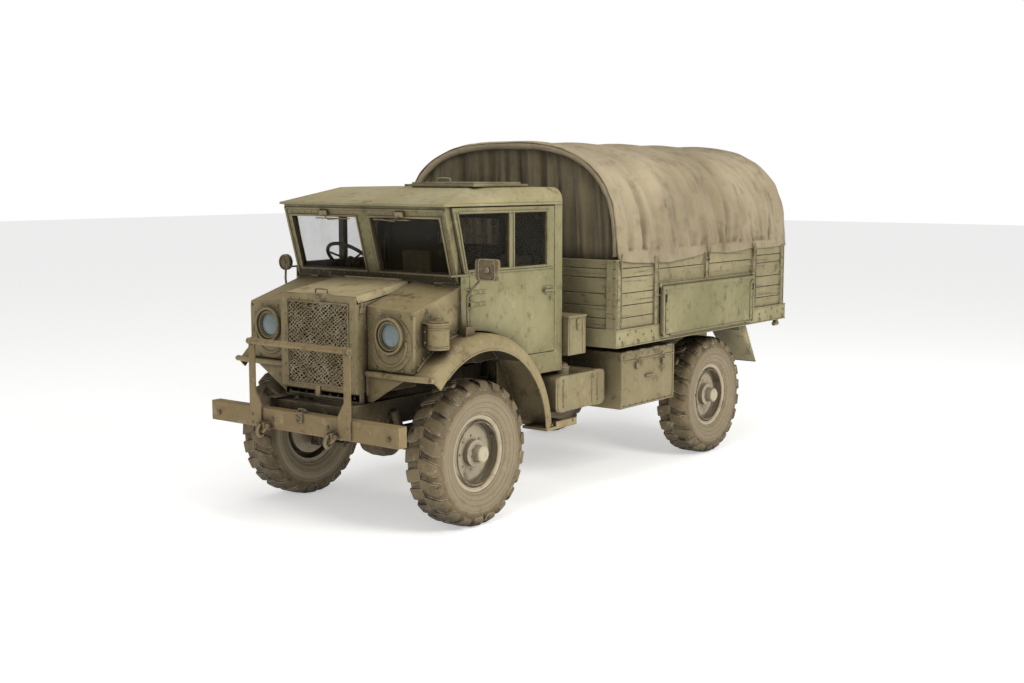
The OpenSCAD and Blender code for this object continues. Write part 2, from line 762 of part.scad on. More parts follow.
module cab_roof() {
    color("#77745a") translate([0, 0, roof_z0]) difference() {
        intersection() {
            roof_form(0);
            slab([-1000, 1000], [-400, 1200], [0, 300]);
        }
        translate([0, 0, -0.01]) roof_form(22);
        slab([110, 610], [340, 850], [-10, 300]);
    }
    color("#77745a") difference() {
        union() {
            slab([60, 650], [310, 880], [roof_z1 - 30, roof_z1 + 6 - seat]);
            translate([355, 934, roof_z1 + 15]) {
                rod_x(-140, 140, 4);
                for (k = [-1, 1]) translate([k * 132, 0, 0]) {
                    rod_x(-8, 8, 9);
                    slab([-8, 8], [-9, 9], [-40, 0]);
                }
            }
        }
        slab([110, 610], [340, 850], [roof_z1 - 200, roof_z1 + 100]);
    }
}
module roof_hatch() {
    color("#77745a") difference() {
        union() {
            slab([20, 690], [270, 920], [roof_z1 + 6, roof_z1 + 24]);
            slab([60, 650], [310, 880], [roof_z1 + 24, roof_z1 + 38]);
            translate([355, 934, roof_z1 + 15]) rod_x(-120, 120, 9);
            slab([235, 475], [915, 934], [roof_z1 + 10, roof_z1 + 20]);
        }
        translate([355, 934, roof_z1 + 15]) rod_x(-300, 300, 4 + run);
    }
}
module windshield_frame() {
    half = screen_w / 2;
    color("#5f5a42") screen_frame() difference() {
        slab([-half, half], [0, screen_t], [0, screen_l]);
        both() slab([64, half - 62], [-1, screen_t + 1], [pane_z0, pane_z1]);
        screen_back() slab([-1000, 1000], [-500, 500], [roof_z0 - seat, roof_z0 + 100]);
    }
}
module windshield_glass() {
    half = screen_w / 2;
    color("#9fb0ae") screen_frame() both()
        slab([64 + seat, half - 62 - seat], [18, 24], [pane_z0 + seat, pane_z1 - seat]);
}
// outline of a door in the plane of the cab side
module door_outline() {
    lean = tan(screen_lean);
    front_top = screen_y0 + screen_t / cos(screen_lean) + panel_gap;
    polygon([
        [sy(door_y0), arch_z], [sy(door_y0), belt_z],
        [sy(front_top - (belt_z - screen_z0) * lean), belt_z],
        [sy(front_top - (door_z1 - screen_z0) * lean), door_z1],
        [sy(door_y1), door_z1], [sy(door_y1), door_z0], [sy(500), door_z0], [sy(500), arch_z]]);
}
win_z0 = 1296;
win_z1 = 1690;
win_front = [20, -72];
win_rear = 888;
bar_y = [465, 515];
// one of the two openings of a door window, grown by g
module window_opening(i, g) {
    offset(delta = g) polygon(i == 0 ?
        [[sy(win_front[0]), win_z0], [sy(win_front[1]), win_z1],
         [sy(bar_y[0]), win_z1], [sy(bar_y[0]), win_z0]] :
        [[sy(bar_y[1]), win_z0], [sy(bar_y[1]), win_z1],
         [sy(win_rear), win_z1], [sy(win_rear), win_z0]]);
}
module door() {
    color("#6f6c50") difference() {
        union() {
            side_frame() {
                difference() {
                    along_x(-door_t, 0) door_outline();
                    for (i = [0, 1]) along_x(-door_t - 1, 1) window_opening(i, 0);
                }
                translate([hinge_out, sy(door_y0) - panel_gap / 2, 0]) for (z = hinge_z) {
                    translate([0, 0, z - 15.5]) cylinder(r = hinge_r + 5, h = 31);
                    slab([-hinge_out - 1, 0], [0, 40], [z - 15.5, z + 15.5]);
                }
                translate([14, 0, 1100]) rotate([0, 0, 0]) {
                    translate([0, sy(915), 0]) rod_y(-70, 40, 10);
                    translate([-16, sy(915) + 22, 0]) rod_x(0, 16, 12);
                }
            }
        }
        arch_cut(arch_r + 12);
        slab([0, 2000], [-200, 480], [-1000, 700]);
        side_frame() translate([hinge_out, sy(door_y0) - panel_gap / 2, 0])
            translate([0, 0, 900]) cylinder(r = hinge_r + run, h = 400);
    }
}
module door_glass() {
    color("#9fb0ae") side_frame() for (i = [0, 1])
        along_x(-door_t / 2 - 3, -door_t / 2 + 3) window_opening(i, -seat);
}
module seats() {
    color("#6a5f48") both() {
        rounded_box([340, 690], [560, 960], [860 + seat, 975], 40);
        translate([0, 0, 0]) along_y(962, cab_rear_y - wall_t - seat) hull() {
            for (x = [410, 620]) translate([x, 1310]) circle(r = 70, $fn = 32);
            translate([340, 980]) square([350, 20]);
        }
    }
}
module steering_column() {
    color("#2f2d26") difference() {
        translate(wheel_pos) rotate([-column_tilt, 0, 0]) {
            translate([0, 0, -560]) cylinder(r = column_r, h = 528);
            translate([0, 0, -40]) cylinder(r = 9, h = 52);
        }
        slab([-1000, 1000], [-500, bulkhead_y[1] + seat], [0, 2000]);
    }
}
module steering_wheel() {
    color("#2b2721") translate(wheel_pos) rotate([-column_tilt, 0, 0]) difference() {
        union() {
            rotate_extrude() translate([steer_r, 0]) circle(r = grip_r, $fn = 32);
            translate([0, 0, -28]) cylinder(r = 40, h = 44);
            for (a = [90, 210, 330]) rotate([0, 0, a]) rod_x(30, steer_r, 8);
        }
        translate([0, 0, -60]) cylinder(r = 9 + run, h = 73);
    }
}
module hood() {
    top = bay_x - 22;
    color("#72694c") difference() {
        union() {
            hood_frame() along_y(-nose_y - hood_rear_y + sheet_t + 6, -14) polygon([
                [-bay_x, -46], [-top, 0], [top, 0], [bay_x, -46],
                [bay_x - sheet_t, -46], [top - 6, -sheet_t], [-top + 6, -sheet_t],
                [-bay_x + sheet_t, -46]]);
            hood_frame() slab([-269, 269], [-20, 0], [-9, 2]);
            hood_frame() rod_x(-269, 269, 9);
        }
        translate([0, hood_rear_y, hinge_line_z]) rod_x(-400, 400, 4 + run);
    }
}

// ---------------------------------------------------------------- stowage and steps
module hasp(y, z) {
    slab([0, 10], [y - 16, y + 16], [z - 46, z + 10]);
    translate([0, y, z - 52]) rod_x(0, 18, 17);
}
module fuel_tanks() {
    color("#72725c") both() {
        rounded_box([560, 950], [930, 1590], [158, 433], 42);
        for (y = [1010, 1470]) rounded_box([556, 954], [y, y + 34], [154, 437], 46);
        translate([850, 1140, 430]) cylinder(r = 58, h = 62);
        slab([frame_x + seat, 562], [1010, 1044], [240, 340]);
        slab([frame_x + seat, 562], [1470, 1504], [240, 340]);
    }
}
module tool_boxes() {
    color("#6f6b4f") both() {
        difference() {
            union() {
                slab([560, 1050], [1680, 2490], [95, 555]);
                translate([1050, 0, 0]) {
                    hasp(1900, 490);
                    hasp(2300, 490);
                    translate([10, 2095, 330]) rod_y(-60, 60, 8);
                    for (y = [2040, 2150]) translate([0, y, 330]) rod_x(-2, 14, 8);
                }
            }
        }
        for (y = [1760, 2370]) slab([frame_x + seat, 562], [y, y + 40], [240, 340]);
        slab([640, 950], [1090, 1322], [585, 875]);
        slab([634, 956], [1086, 1328], [872, 888]);
        translate([950, 0, 0]) hasp(1210, 850);
        slab([frame_x - 60, frame_x - 20], [1180, 1220], [frame_z1 + seat, 586]);
        slab([frame_x - 60, 660], [1180, 1220], [556, 586]);
    }
}
module cab_steps() {
    color("#625d45") both() {
        slab([760, wing_out_x], [arch_y + lip_r, 1150], [step_z0, step_z1]);
        slab([wing_out_x - 14, wing_out_x], [arch_y + arch_r + 6, 1150], [step_z0, step_z1 + 34]);
        for (y = [890, 935]) slab([frame_x + seat, 780], [y, y + 12], [step_z0, step_z1 + 30]);
        slab([frame_x + seat, frame_x + 20], [880, 957], [step_z0, frame_z0 + 90]);
    }
}
module rear_mudguards() {
    color("#625e46") both() {
        along_x(700, 1000) polygon([
            [wheelbase + 420, deck_z - 30 - seat], [wheelbase + 520, deck_z - 30 - seat],
            [wheelbase + 540, sill_z],
            [wheelbase + 772, 225], [wheelbase + 758, 225], [wheelbase + 440, 545]]);
    }
}

// ---------------------------------------------------------------- load body
module cargo_floor() {
    y = [body_front_y, body_rear_y];
    x = half_body;
    color("#6a664a") {
        difference() {
            slab([-x, x], y, [sill_z, deck_z]);
            slab([-x + 60, x - 60], [y[0] + 60, y[1] - 60], [sill_z - 1, deck_z - 30]);
        }
        for (i = [0:4]) {
            yb = y[0] + 60 + i * (body_l - 180) / 4;
            slab([-x + 59, x - 59], [yb, yb + 60], [sill_z, deck_z - 29]);
        }
        both() slab([frame_x - rail_flange, frame_x], [y[0] + 20, rail_rear_y], [frame_z1 + seat, sill_z + 1]);
        both() {
            slab([1030, 1070], [y[1] - 40, y[1] - 10], [sill_z - 60, sill_z + 1]);
            translate([1050, 0, sill_z - 54]) rod_y(y[1] - 60, y[1] + 14, 20);
        }
        both() for (yy = [flap_y0 + 60, flap_y1 - 60]) flap_lugs(yy);
        for (s = [-700, 700]) translate([s, body_rear_y + 12, deck_z - 10]) {
            for (k = [-1, 1]) {
                translate([k * 40, 0, 0]) rod_x(-14, 14, 11);
                slab([k * 40 - 14, k * 40 + 14], [-13, 0], [-11, 11]);
            }
            rod_x(-50, 50, 6);
        }
    }
}
flap_axis_x = half_body + 13;
flap_axis_z = flap_z0;
module flap_lugs(y) {
    translate([flap_axis_x, y, flap_axis_z]) {
        for (k = [-1, 1]) {
            translate([0, k * 40, 0]) rod_y(-14, 14, 11);
            slab([-14, 0], [k * 40 - 14, k * 40 + 14], [-11, 11]);
        }
        rod_y(-50, 50, 6);
    }
}
// heights of the planks between z[0] and z[1], which were sawn to uneven widths
plank_cuts = [0, 0.159, 0.336, 0.512, 0.739, 0.87, 1];
plank_gap = 6;
function plank_z(z, i) = [
    z[0] + (z[1] - z[0]) * plank_cuts[i] + (i == 0 ? 0 : plank_gap / 2),
    z[0] + (z[1] - z[0]) * plank_cuts[i + 1] - (i == len(plank_cuts) - 2 ? 0 : plank_gap / 2)];
module planks(x0, x1, z) {
    for (i = [0:len(plank_cuts) - 2]) slab([x0, x1], [0, plank_t], plank_z(z, i));
}
module front_board() {
    w = tilt_x - plank_t - 2 - seat;
    z = [deck_z + seat, board_z1];
    color("#6e6a4d") translate([0, body_front_y + post_t, 0]) {
        planks(-w, w, z);
        for (x = [-w, -500, 440, w - 60]) slab([x, x + 60], [-post_t, 1], z);
        for (x = [-w, -500, 440, w - 60]) slab([x, x + 60], [2, plank_t + 3], z);
    }
}
// planks of one side between two places, and the posts that carry them
module side_planks(y, z) {
    for (i = [0:len(plank_cuts) - 2]) slab([tilt_x - plank_t, tilt_x], y, plank_z(z, i));
}
module side_post(y, w, z0) {
    slab([tilt_x - 2, half_body], [y, y + w], [z0, board_z1]);
    slab([tilt_x - plank_t - 2, tilt_x - 2], [y + 6, y + w - 6], [z0, board_z1]);
}
module side_boards() {
    z0 = deck_z + seat;
    rear = body_rear_y - gate_t - panel_gap;
    upper_z = flap_z1 + 34;
    color("#6e6a4d") both() {
        side_planks([body_front_y, flap_y0 - 20], [z0, board_z1]);
        for (z = [[upper_z, upper_z + 124], [upper_z + 130, board_z1]])
            slab([tilt_x - plank_t, tilt_x], [flap_y0 - 26, flap_y1 + 30], z);
        side_planks([flap_y1 + 20, rear], [z0, board_z1]);
        side_post(body_front_y, 76, z0);
        side_post(flap_y0 - 86, 60, z0);
        side_post((flap_y0 + flap_y1) / 2 - 50, 60, upper_z);
        side_post(flap_y1 + 26, 60, z0);
        side_post(rear - 70, 70, z0);
    }
}
module dropside() {
    x = [half_body + 6, half_body + 6 + flap_t];
    color("#74745a") {
        difference() {
            union() {
                slab([x[0], x[1]], [flap_y0, flap_y1], [flap_axis_z, flap_z1]);
                translate([x[0] + flap_t / 2 + 3, 0, flap_z1]) rod_y(flap_y0, flap_y1, 18);
            }
            for (yy = [flap_y0 + 60, flap_y1 - 60])
                slab([x[0] - 1, x[1] + 1], [yy - 60, yy + 60], [flap_axis_z - 1, flap_axis_z + 18]);
        }
        difference() {
            for (yy = [flap_y0 + 60, flap_y1 - 60]) translate([flap_axis_x, yy, flap_axis_z]) {
                rod_y(-25, 25, 12);
                slab([-7, 11], [-25, 25], [0, 20]);
            }
            translate([flap_axis_x, 0, flap_axis_z]) rod_y(flap_y0, flap_y1, 6 + run);
        }
    }
}
module tailgate() {
    y0 = body_rear_y - gate_t;
    x = half_body - 24;
    color("#6e6a4d") difference() {
        union() {
            translate([0, y0, 0]) {
                planks(-x, x, [deck_z + panel_gap, board_z1]);
                for (s = [-x, -730, 670, x - 60])
                    slab([s, s + 60], [plank_t - 2, gate_t], [deck_z + panel_gap, board_z1]);
            }
            for (s = [-700, 700]) {
                translate([s, body_rear_y + 12, deck_z - 10]) rod_x(-25, 25, 12);
                slab([s - 25, s + 25], [body_rear_y - 2, body_rear_y + 24], [deck_z + panel_gap, deck_z + 90]);
                slab([s - 25, s + 25], [body_rear_y + 2, body_rear_y + 24], [deck_z - 10, deck_z + 10]);
            }
        }
        translate([0, body_rear_y + 12, deck_z - 10]) rod_x(-2000, 2000, 6 + run);
    }
}
// point of the tilt's arch at angle a, inset by d
function tilt_point(a, d) = [
    (tilt_x - d) * sign(cos(a)) * pow(abs(cos(a)), 2 / tilt_power),
    (tilt_h - d) * pow(abs(sin(a)), 2 / tilt_power)];
module tilt_profile(d) {
    polygon([for (a = [0:6:180]) tilt_point(a, d)]);
}
module canopy() {
    front = body_front_y + 30;
    color("#8a8069") translate([0, 0, tilt_z0]) difference() {
        along_y(front, body_rear_y) tilt_profile(0);
        along_y(front + 40 + tilt_t, body_rear_y + 1) translate([0, -0.01]) tilt_profile(tilt_t);
        along_y(front - 1, front + 40) translate([0, -0.01]) tilt_profile(60);
        slab([-2000, 2000], [0, 9000], [-10, 0]);
    }
}
// one hoop of bent tube, as rings of six points along the tilt's arch
module hoop(y) {
    sides = 6;
    foot = deck_z + seat - tilt_z0;
    arch = [for (a = [12:12:168]) tilt_point(a, hoop_in)];
    path = concat([[hoop_foot_x, foot], [hoop_foot_x, 40]], arch,
                  [[-hoop_foot_x, 40], [-hoop_foot_x, foot]]);
    n = len(path);
    function along(i) = i == 0 || i == n - 1 ? [0, i == 0 ? 1 : -1] :
        (path[i + 1] - path[i - 1]) / norm(path[i + 1] - path[i - 1]);
    rings = [for (i = [0:n - 1]) for (k = [0:sides - 1])
        let (t = along(i), c = cos(k * 60) * hoop_r, s = sin(k * 60) * hoop_r)
        [path[i][0] - t[1] * c, y + s, path[i][1] + t[0] * c]];
    translate([0, 0, tilt_z0]) polyhedron(points = rings, faces = concat(
        [[for (k = [0:sides - 1]) k]],
        [for (i = [0:n - 2]) for (k = [0:sides - 1]) [i * sides + k, (i + 1) * sides + k,
            (i + 1) * sides + (k + 1) % sides, i * sides + (k + 1) % sides]],
        [[for (k = [sides - 1:-1:0]) (n - 1) * sides + k]]));
}
module canopy_hoops() {
    inner = body_front_y + 110;
    step = (body_rear_y - 100 - inner) / 4;
    color("#4c4937") for (i = [0:4]) hoop(inner + i * step);
}

// ---------------------------------------------------------------- nodes
module show() { on_ground() children(); }
show() frame_rails();
show() front_bumper();
show() brush_guard();
show() nose_cowl();
show() grille_mesh();
show() radiator();
show() wing_boxes();
show() only(1) front_fender();  // front_fender_left
show() only(-1) front_fender();  // front_fender_right
show() lamps();
show() lamp_lenses();
show() cab_cowl();
show() cab_floor();
show() engine_cover();
show() cab_back();
show() cab_roof();
show() windshield_frame();
show() windshield_glass();
show() seats();
show() steering_column();
show() front_axle();
show() rear_axle();
show() leaf_springs();
show() powertrain();
show() propshafts();
show() exhaust();
show() fuel_tanks();
show() tool_boxes();
show() cab_steps();
show() rear_mudguards();
show() cargo_floor();
show() front_board();
show() side_boards();
show() canopy();
show() canopy_hoops();
show() mirrors();
show() side_canister();
show() only(1) knuckle();  // knuckle_left
show() only(-1) knuckle();  // knuckle_right
show() tie_rod();
show() steering_wheel();
show() only(1) tyre(0);  // tyre_front_left
show() only(-1) tyre(0);  // tyre_front_right
show() only(1) tyre(wheelbase);  // tyre_rear_left
show() only(-1) tyre(wheelbase);  // tyre_rear_right
show() only(1) wheel(0);  // wheel_front_left
show() only(-1) wheel(0);  // wheel_front_right
show() only(1) wheel(wheelbase);  // wheel_rear_left
show() only(-1) wheel(wheelbase);  // wheel_rear_right
show() only(1) door();  // door_left
show() only(-1) door();  // door_right
show() only(1) door_glass();  // door_glass_left
show() only(-1) door_glass();  // door_glass_right
show() hood();
show() roof_hatch();
show() tailgate();
show() only(1) dropside();  // dropside_left
show() only(-1) dropside();  // dropside_right
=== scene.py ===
# %% [markdown]
# # A military cargo truck
# The truck's sizes, joints and hard parts come from its CAD model. This lesson
# gives it what CAD leaves out: aged paint, tread, canvas, padding, mesh, bolts.
# The frame is loaded first, because every later piece is placed from it.

# %% Load the frame
import math
import random

import bmesh
import bpy
from mathutils import Matrix, Vector, noise


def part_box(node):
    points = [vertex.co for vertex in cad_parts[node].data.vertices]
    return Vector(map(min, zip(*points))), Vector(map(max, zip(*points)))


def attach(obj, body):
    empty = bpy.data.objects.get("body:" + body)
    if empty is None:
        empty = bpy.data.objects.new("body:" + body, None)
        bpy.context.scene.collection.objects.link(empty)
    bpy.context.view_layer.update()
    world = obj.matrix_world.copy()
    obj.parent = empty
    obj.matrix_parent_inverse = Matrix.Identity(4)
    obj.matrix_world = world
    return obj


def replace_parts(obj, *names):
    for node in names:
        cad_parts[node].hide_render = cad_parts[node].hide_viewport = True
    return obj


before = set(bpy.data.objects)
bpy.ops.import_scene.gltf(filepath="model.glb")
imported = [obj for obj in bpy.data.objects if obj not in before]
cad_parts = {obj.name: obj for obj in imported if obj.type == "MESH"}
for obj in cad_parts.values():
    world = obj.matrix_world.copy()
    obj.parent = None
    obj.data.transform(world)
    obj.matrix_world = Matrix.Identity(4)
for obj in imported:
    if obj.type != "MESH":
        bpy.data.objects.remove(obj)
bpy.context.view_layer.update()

random.seed(7)

# %% [markdown]
# ## Where things are
# A truck is drawn from the middle of its front axle, in millimetres. `at` turns
# such a point into metres in the frame. The cab's sides splay outwards to the
# rear, and the windscreen leans back, so each has its own way in. Every new mesh
# becomes an object by `as_object`.

# %% Places
tyre_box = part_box("tyre_front_left")
AXLE = (tyre_box[0] + tyre_box[1]) / 2
HALF_TRACK = AXLE.x
WHEELBASE = (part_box("tyre_rear_left")[0].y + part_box("tyre_rear_left")[1].y) / 2 - AXLE.y
SIDE_TURN = Matrix.Rotation(-math.atan(76 / 1223), 4, "Z")
SCREEN_TURN = Matrix.Rotation(math.radians(15.5), 4, "X")


def at(x, y, z):
    """Millimetres from the middle of the front axle, as metres in the frame."""
    return Vector((x / 1000, AXLE.y + y / 1000, AXLE.z + z / 1000))


def on_side(x, y, z):
    """A point x outside the left side of the cab, at y and z."""
    along = (y + 150) / math.cos(math.atan(76 / 1223))
    return at(825, -150, 0) + SIDE_TURN @ (Vector((x, along, z)) / 1000)


def on_screen(x, y, z):
    """A point x across, y into and z up the windscreen."""
    return at(0, -33, 1188) + SCREEN_TURN @ (Vector((x, y, z)) / 1000)


def as_object(form, name):
    """Turns a bmesh into an object in the scene."""
    mesh = bpy.data.meshes.new(name)
    form.to_mesh(mesh)
    form.free()
    obj = bpy.data.objects.new(name, mesh)
    scene.collection.objects.link(obj)
    return obj


scene = bpy.context.scene
print("wheelbase %.3f m, half track %.3f m" % (WHEELBASE, HALF_TRACK))

# %% [markdown]
# ## Camera and light
# The truck stands on a pale floor in soft studio light: a broad light on its
# left side, a wide one above, and a pale sky that fills the shadows.

# %% Camera, floor and lights
scene.view_settings.view_transform = "Standard"
lens = bpy.data.cameras.new("camera")
lens.lens = 47.56
lens.sensor_width = 36
camera = bpy.data.objects.new("camera", lens)
camera.location = (6.893, -9.0735, 2.485)
camera.rotation_euler = (math.radians(90 - 7.007), 0, math.radians(37.66))
scene.collection.objects.link(camera)
scene.camera = camera


def area_light(name, place, aim, size, power, colour=(1, 1, 1)):
    light = bpy.data.lights.new(name, "AREA")
    light.size = size
    light.energy = power
    light.color = colour
    obj = bpy.data.objects.new(name, light)
    obj.location = place
    obj.rotation_euler = (Vector(aim) - Vector(place)).to_track_quat("-Z", "Y").to_euler()
    scene.collection.objects.link(obj)
    return obj


area_light("side_light", (9.5, -1.5, 6.5), (0, 0, 1.2), 4.0, 620, (1, 0.97, 0.92))
area_light("top_light", (1.0, -1.0, 9.0), (0, 0, 1.0), 6.0, 260, (1, 0.98, 0.95))
area_light("front_light", (2.5, -10.0, 4.0), (0, -1, 1.0), 5.0, 90, (1, 0.98, 0.95))

world = bpy.data.worlds.new("studio")
world.use_nodes = True
sky = world.node_tree
backdrop = sky.nodes.new("ShaderNodeBackground")
backdrop.inputs["Strength"].default_value = 1.0
sky.nodes["Background"].inputs["Strength"].default_value = 0.42
seen = sky.nodes.new("ShaderNodeLightPath")
choice = sky.nodes.new("ShaderNodeMixShader")
sky.links.new(seen.outputs["Is Camera Ray"], choice.inputs[0])
sky.links.new(sky.nodes["Background"].outputs[0], choice.inputs[1])
sky.links.new(backdrop.outputs[0], choice.inputs[2])
sky.links.new(choice.outputs[0], sky.nodes["World Output"].inputs[0])
for light in (sky.nodes["Background"], backdrop):
    light.inputs["Color"].default_value = (1, 1, 1, 1)
scene.world = world

floor_form = bmesh.new()
bmesh.ops.create_grid(floor_form, x_segments=1, y_segments=1, size=60)
floor = as_object(floor_form, "floor")
print("camera at", tuple(round(c, 3) for c in camera.location))

# %% [markdown]
# ## Tools for building materials
# Every finish here is made of nodes. `add` puts a node in a tree and fills its
# sockets, and `mix` blends two colours. Both keep the recipes below short.

# %% Node helpers
def add(tree, kind, inputs=None, **settings):
    made = tree.nodes.new(kind)
    for key, value in settings.items():
        setattr(made, key, value)
    for key, value in (inputs or {}).items():
        if isinstance(value, bpy.types.NodeSocket):
            tree.links.new(value, made.inputs[key])
        else:
            made.inputs[key].default_value = value
    return made


def mix(tree, factor, first, second, blend="MIX"):
    made = add(tree, "ShaderNodeMix", {0: factor, 6: first, 7: second},
               data_type="RGBA", blend_type=blend, clamp_factor=True)
    return made.outputs[2]


def maths(tree, operation, *values, clamp=True):
    made = add(tree, "ShaderNodeMath", dict(enumerate(values)), operation=operation)
    made.use_clamp = clamp
    return made.outputs[0]


def times(tree, first, second, clamp=True):
    return maths(tree, "MULTIPLY", first, second, clamp=clamp)


def plus(tree, first, second):
    return maths(tree, "ADD", first, second)


def openness(tree, distance):
    """1 in the open, less where other surfaces shut the place in."""
    return add(tree, "ShaderNodeAmbientOcclusion", {"Distance": distance}, samples=4).outputs["AO"]


def ramp(tree, value, low, high):
    """0 below low, 1 above high, smooth between."""
    made = add(tree, "ShaderNodeMapRange", {"Value": value, "From Min": low, "From Max": high},
               interpolation_type="SMOOTHSTEP")
    return made.outputs[0]


def noise_of(tree, place, scale, detail=5.0, rough=0.6, stretch=None):
    if stretch:
        place = add(tree, "ShaderNodeMapping", {"Vector": place, "Scale": stretch}).outputs[0]
    return add(tree, "ShaderNodeTexNoise",
               {"Vector": place, "Scale": scale, "Detail": detail, "Roughness": rough}).outputs[0]


def group(name, inputs, outputs):
    tree = bpy.data.node_groups.new(name, "ShaderNodeTree")
    kinds = {"c": "NodeSocketColor", "f": "NodeSocketFloat", "v": "NodeSocketVector"}
    for key, kind in inputs:
        tree.interface.new_socket(key, in_out="INPUT", socket_type=kinds[kind])
    for key, kind in outputs:
        tree.interface.new_socket(key, in_out="OUTPUT", socket_type=kinds[kind])
    return tree, tree.nodes.new("NodeGroupInput").outputs, tree.nodes.new("NodeGroupOutput").inputs


def rgb(red, green, blue):
    """A screen colour, 0 to 255, as linear light."""
    return tuple(((c / 255) ** 2.2) for c in (red, green, blue)) + (1.0,)


# %% [markdown]
# ## How a surface ages, and where shade is painted
# Paint fades in broad clouds, rain leaves upright streaks, dust settles low down
# and on upward faces, corners darken with dirt and painted shade, and edges wear
# through to rust and are lightened, partly as a painted highlight. Undersides and
# the inside of the cab are darkened as painted shade.
# One group works out all five masks, and each finish chooses its own colours.

# %% The ageing and painted shade group
aged_shaded, given, out = group("aged_shaded_surface", [
    ("Base", "c"), ("Faded", "c"), ("Dust", "c"), ("Grime and shade", "c"), ("Rust", "c"),
    ("Dust amount", "f"), ("Grime and corner shade amount", "f"), ("Rust amount", "f"), ("Wear and edge highlight", "f"),
    ("Streaks", "f"), ("Grain", "f"), ("Corner size", "f"), ("Sidewall", "f")],
    [("Color", "c"), ("Roughness", "f"), ("Height", "f"), ("Normal", "v")])
place = add(aged_shaded, "ShaderNodeTexCoord").outputs["Object"]
shape = add(aged_shaded, "ShaderNodeNewGeometry")
clouds = noise_of(aged_shaded, place, 1.6, 6, 0.62)
blots = noise_of(aged_shaded, place, 7.0, 8, 0.68)
specks = noise_of(aged_shaded, place, 60.0, 4, 0.7)
streaks = noise_of(aged_shaded, place, 14.0, 5, 0.6, (1, 1, 0.09))
round_edge = add(aged_shaded, "ShaderNodeBevel", {"Radius": 0.013}, samples=4)
edge_rounding = add(aged_shaded, "ShaderNodeVectorMath", {0: round_edge.outputs[0], 1: shape.outputs["Normal"]},
           operation="DOT_PRODUCT").outputs["Value"]
edge = ramp(aged_shaded, edge_rounding, 0.985, 0.86)
# Corners and seams darken towards the grime colour: partly dirt that collects there, partly painted
# shade.
corner = ramp(aged_shaded, openness(aged_shaded, given["Corner size"]), 0.96, 0.50)
# Painted shade: places shut in within 0.9 m, such as undersides and wheel wells, are darkened
# towards the grime colour.
shade = ramp(aged_shaded, openness(aged_shaded, 0.9), 0.50, 0.12)
axes = add(aged_shaded, "ShaderNodeSeparateXYZ", {0: place}).outputs
facing = add(aged_shaded, "ShaderNodeSeparateXYZ", {0: shape.outputs["Normal"]}).outputs
ahead = maths(aged_shaded, "SUBTRACT", axes[1], AXLE.y - 0.15, clamp=False)
splay = maths(aged_shaded, "SUBTRACT", maths(aged_shaded, "ABSOLUTE", axes[0], clamp=False),
              times(aged_shaded, ahead, 0.0621, clamp=False), clamp=False)
# Painted shade: everything inside the cab's box is darkened nearly to the grime colour.
CAB_INSIDE = (("GREATER_THAN", axes[1], AXLE.y - 0.050), ("LESS_THAN", axes[1], AXLE.y + 1.052),
              ("GREATER_THAN", axes[2], AXLE.z + 0.58), ("LESS_THAN", axes[2], AXLE.z + 1.742))
cab_inside_shade = maths(aged_shaded, "LESS_THAN", splay, 0.800)
for test, value, limit in CAB_INSIDE:
    cab_inside_shade = times(aged_shaded, cab_inside_shade, maths(aged_shaded, test, value, limit))
low_down = ramp(aged_shaded, axes[2], 1.55, 0.35)
upward = ramp(aged_shaded, facing[2], 0.25, 0.95)
colour = mix(aged_shaded, ramp(aged_shaded, clouds, 0.36, 0.66), given["Base"], given["Faded"])
colour = mix(aged_shaded, times(aged_shaded, ramp(aged_shaded, streaks, 0.5, 0.72), given["Streaks"]),
             colour, given["Dust"])
dusty = maths(aged_shaded, "MAXIMUM", low_down, times(aged_shaded, upward, 0.55))
dusty = times(aged_shaded, dusty, ramp(aged_shaded, blots, 0.32, 0.66))
dusty = times(aged_shaded, dusty, given["Dust amount"])
colour = mix(aged_shaded, dusty, colour, given["Dust"])
smears = noise_of(aged_shaded, place, 16.0, 8, 0.72)
dirt_and_shade = plus(aged_shaded, corner, ramp(aged_shaded, blots, 0.54, 0.74))
dirt_and_shade = plus(aged_shaded, dirt_and_shade, times(aged_shaded, ramp(aged_shaded, smears, 0.53, 0.72), 0.55))
dirt_and_shade = times(aged_shaded, dirt_and_shade, given["Grime and corner shade amount"])
# Painted shade joins the dirt here: shut-in places and the inside of the cab go nearly to the grime
# colour.
dirt_and_shade = maths(aged_shaded, "MAXIMUM", dirt_and_shade, times(aged_shaded, shade, 0.9))
dirt_and_shade = maths(aged_shaded, "MAXIMUM", dirt_and_shade, times(aged_shaded, cab_inside_shade, 0.90))
colour = mix(aged_shaded, dirt_and_shade, colour, given["Grime and shade"])
# Edges are lightened towards a pale colour: partly paint worn thin, partly a painted highlight.
worn_and_highlit_edge = times(aged_shaded, edge, ramp(aged_shaded, blots, 0.38, 0.62))
worn_and_highlit_edge = times(aged_shaded, worn_and_highlit_edge, given["Wear and edge highlight"])
scuffs = times(aged_shaded, ramp(aged_shaded, noise_of(aged_shaded, place, 11.0, 7, 0.7), 0.56, 0.72), 0.35)
colour = mix(aged_shaded, times(aged_shaded, scuffs, given["Wear and edge highlight"]), colour, (0.58, 0.52, 0.38, 1))
colour = mix(aged_shaded, worn_and_highlit_edge, colour, mix(aged_shaded, 0.55, given["Faded"], (0.62, 0.56, 0.42, 1)))
rearward = maths(aged_shaded, "SUBTRACT", axes[1], AXLE.y, clamp=False)
behind = maths(aged_shaded, "GREATER_THAN", rearward, WHEELBASE / 2)
along = maths(aged_shaded, "SUBTRACT", rearward, times(aged_shaded, behind, WHEELBASE, clamp=False),
              clamp=False)
over = maths(aged_shaded, "SUBTRACT", axes[2], AXLE.z, clamp=False)
radius = maths(aged_shaded, "SQRT", maths(aged_shaded, "ADD", times(aged_shaded, along, along, clamp=False),
                                   times(aged_shaded, over, over, clamp=False), clamp=False))
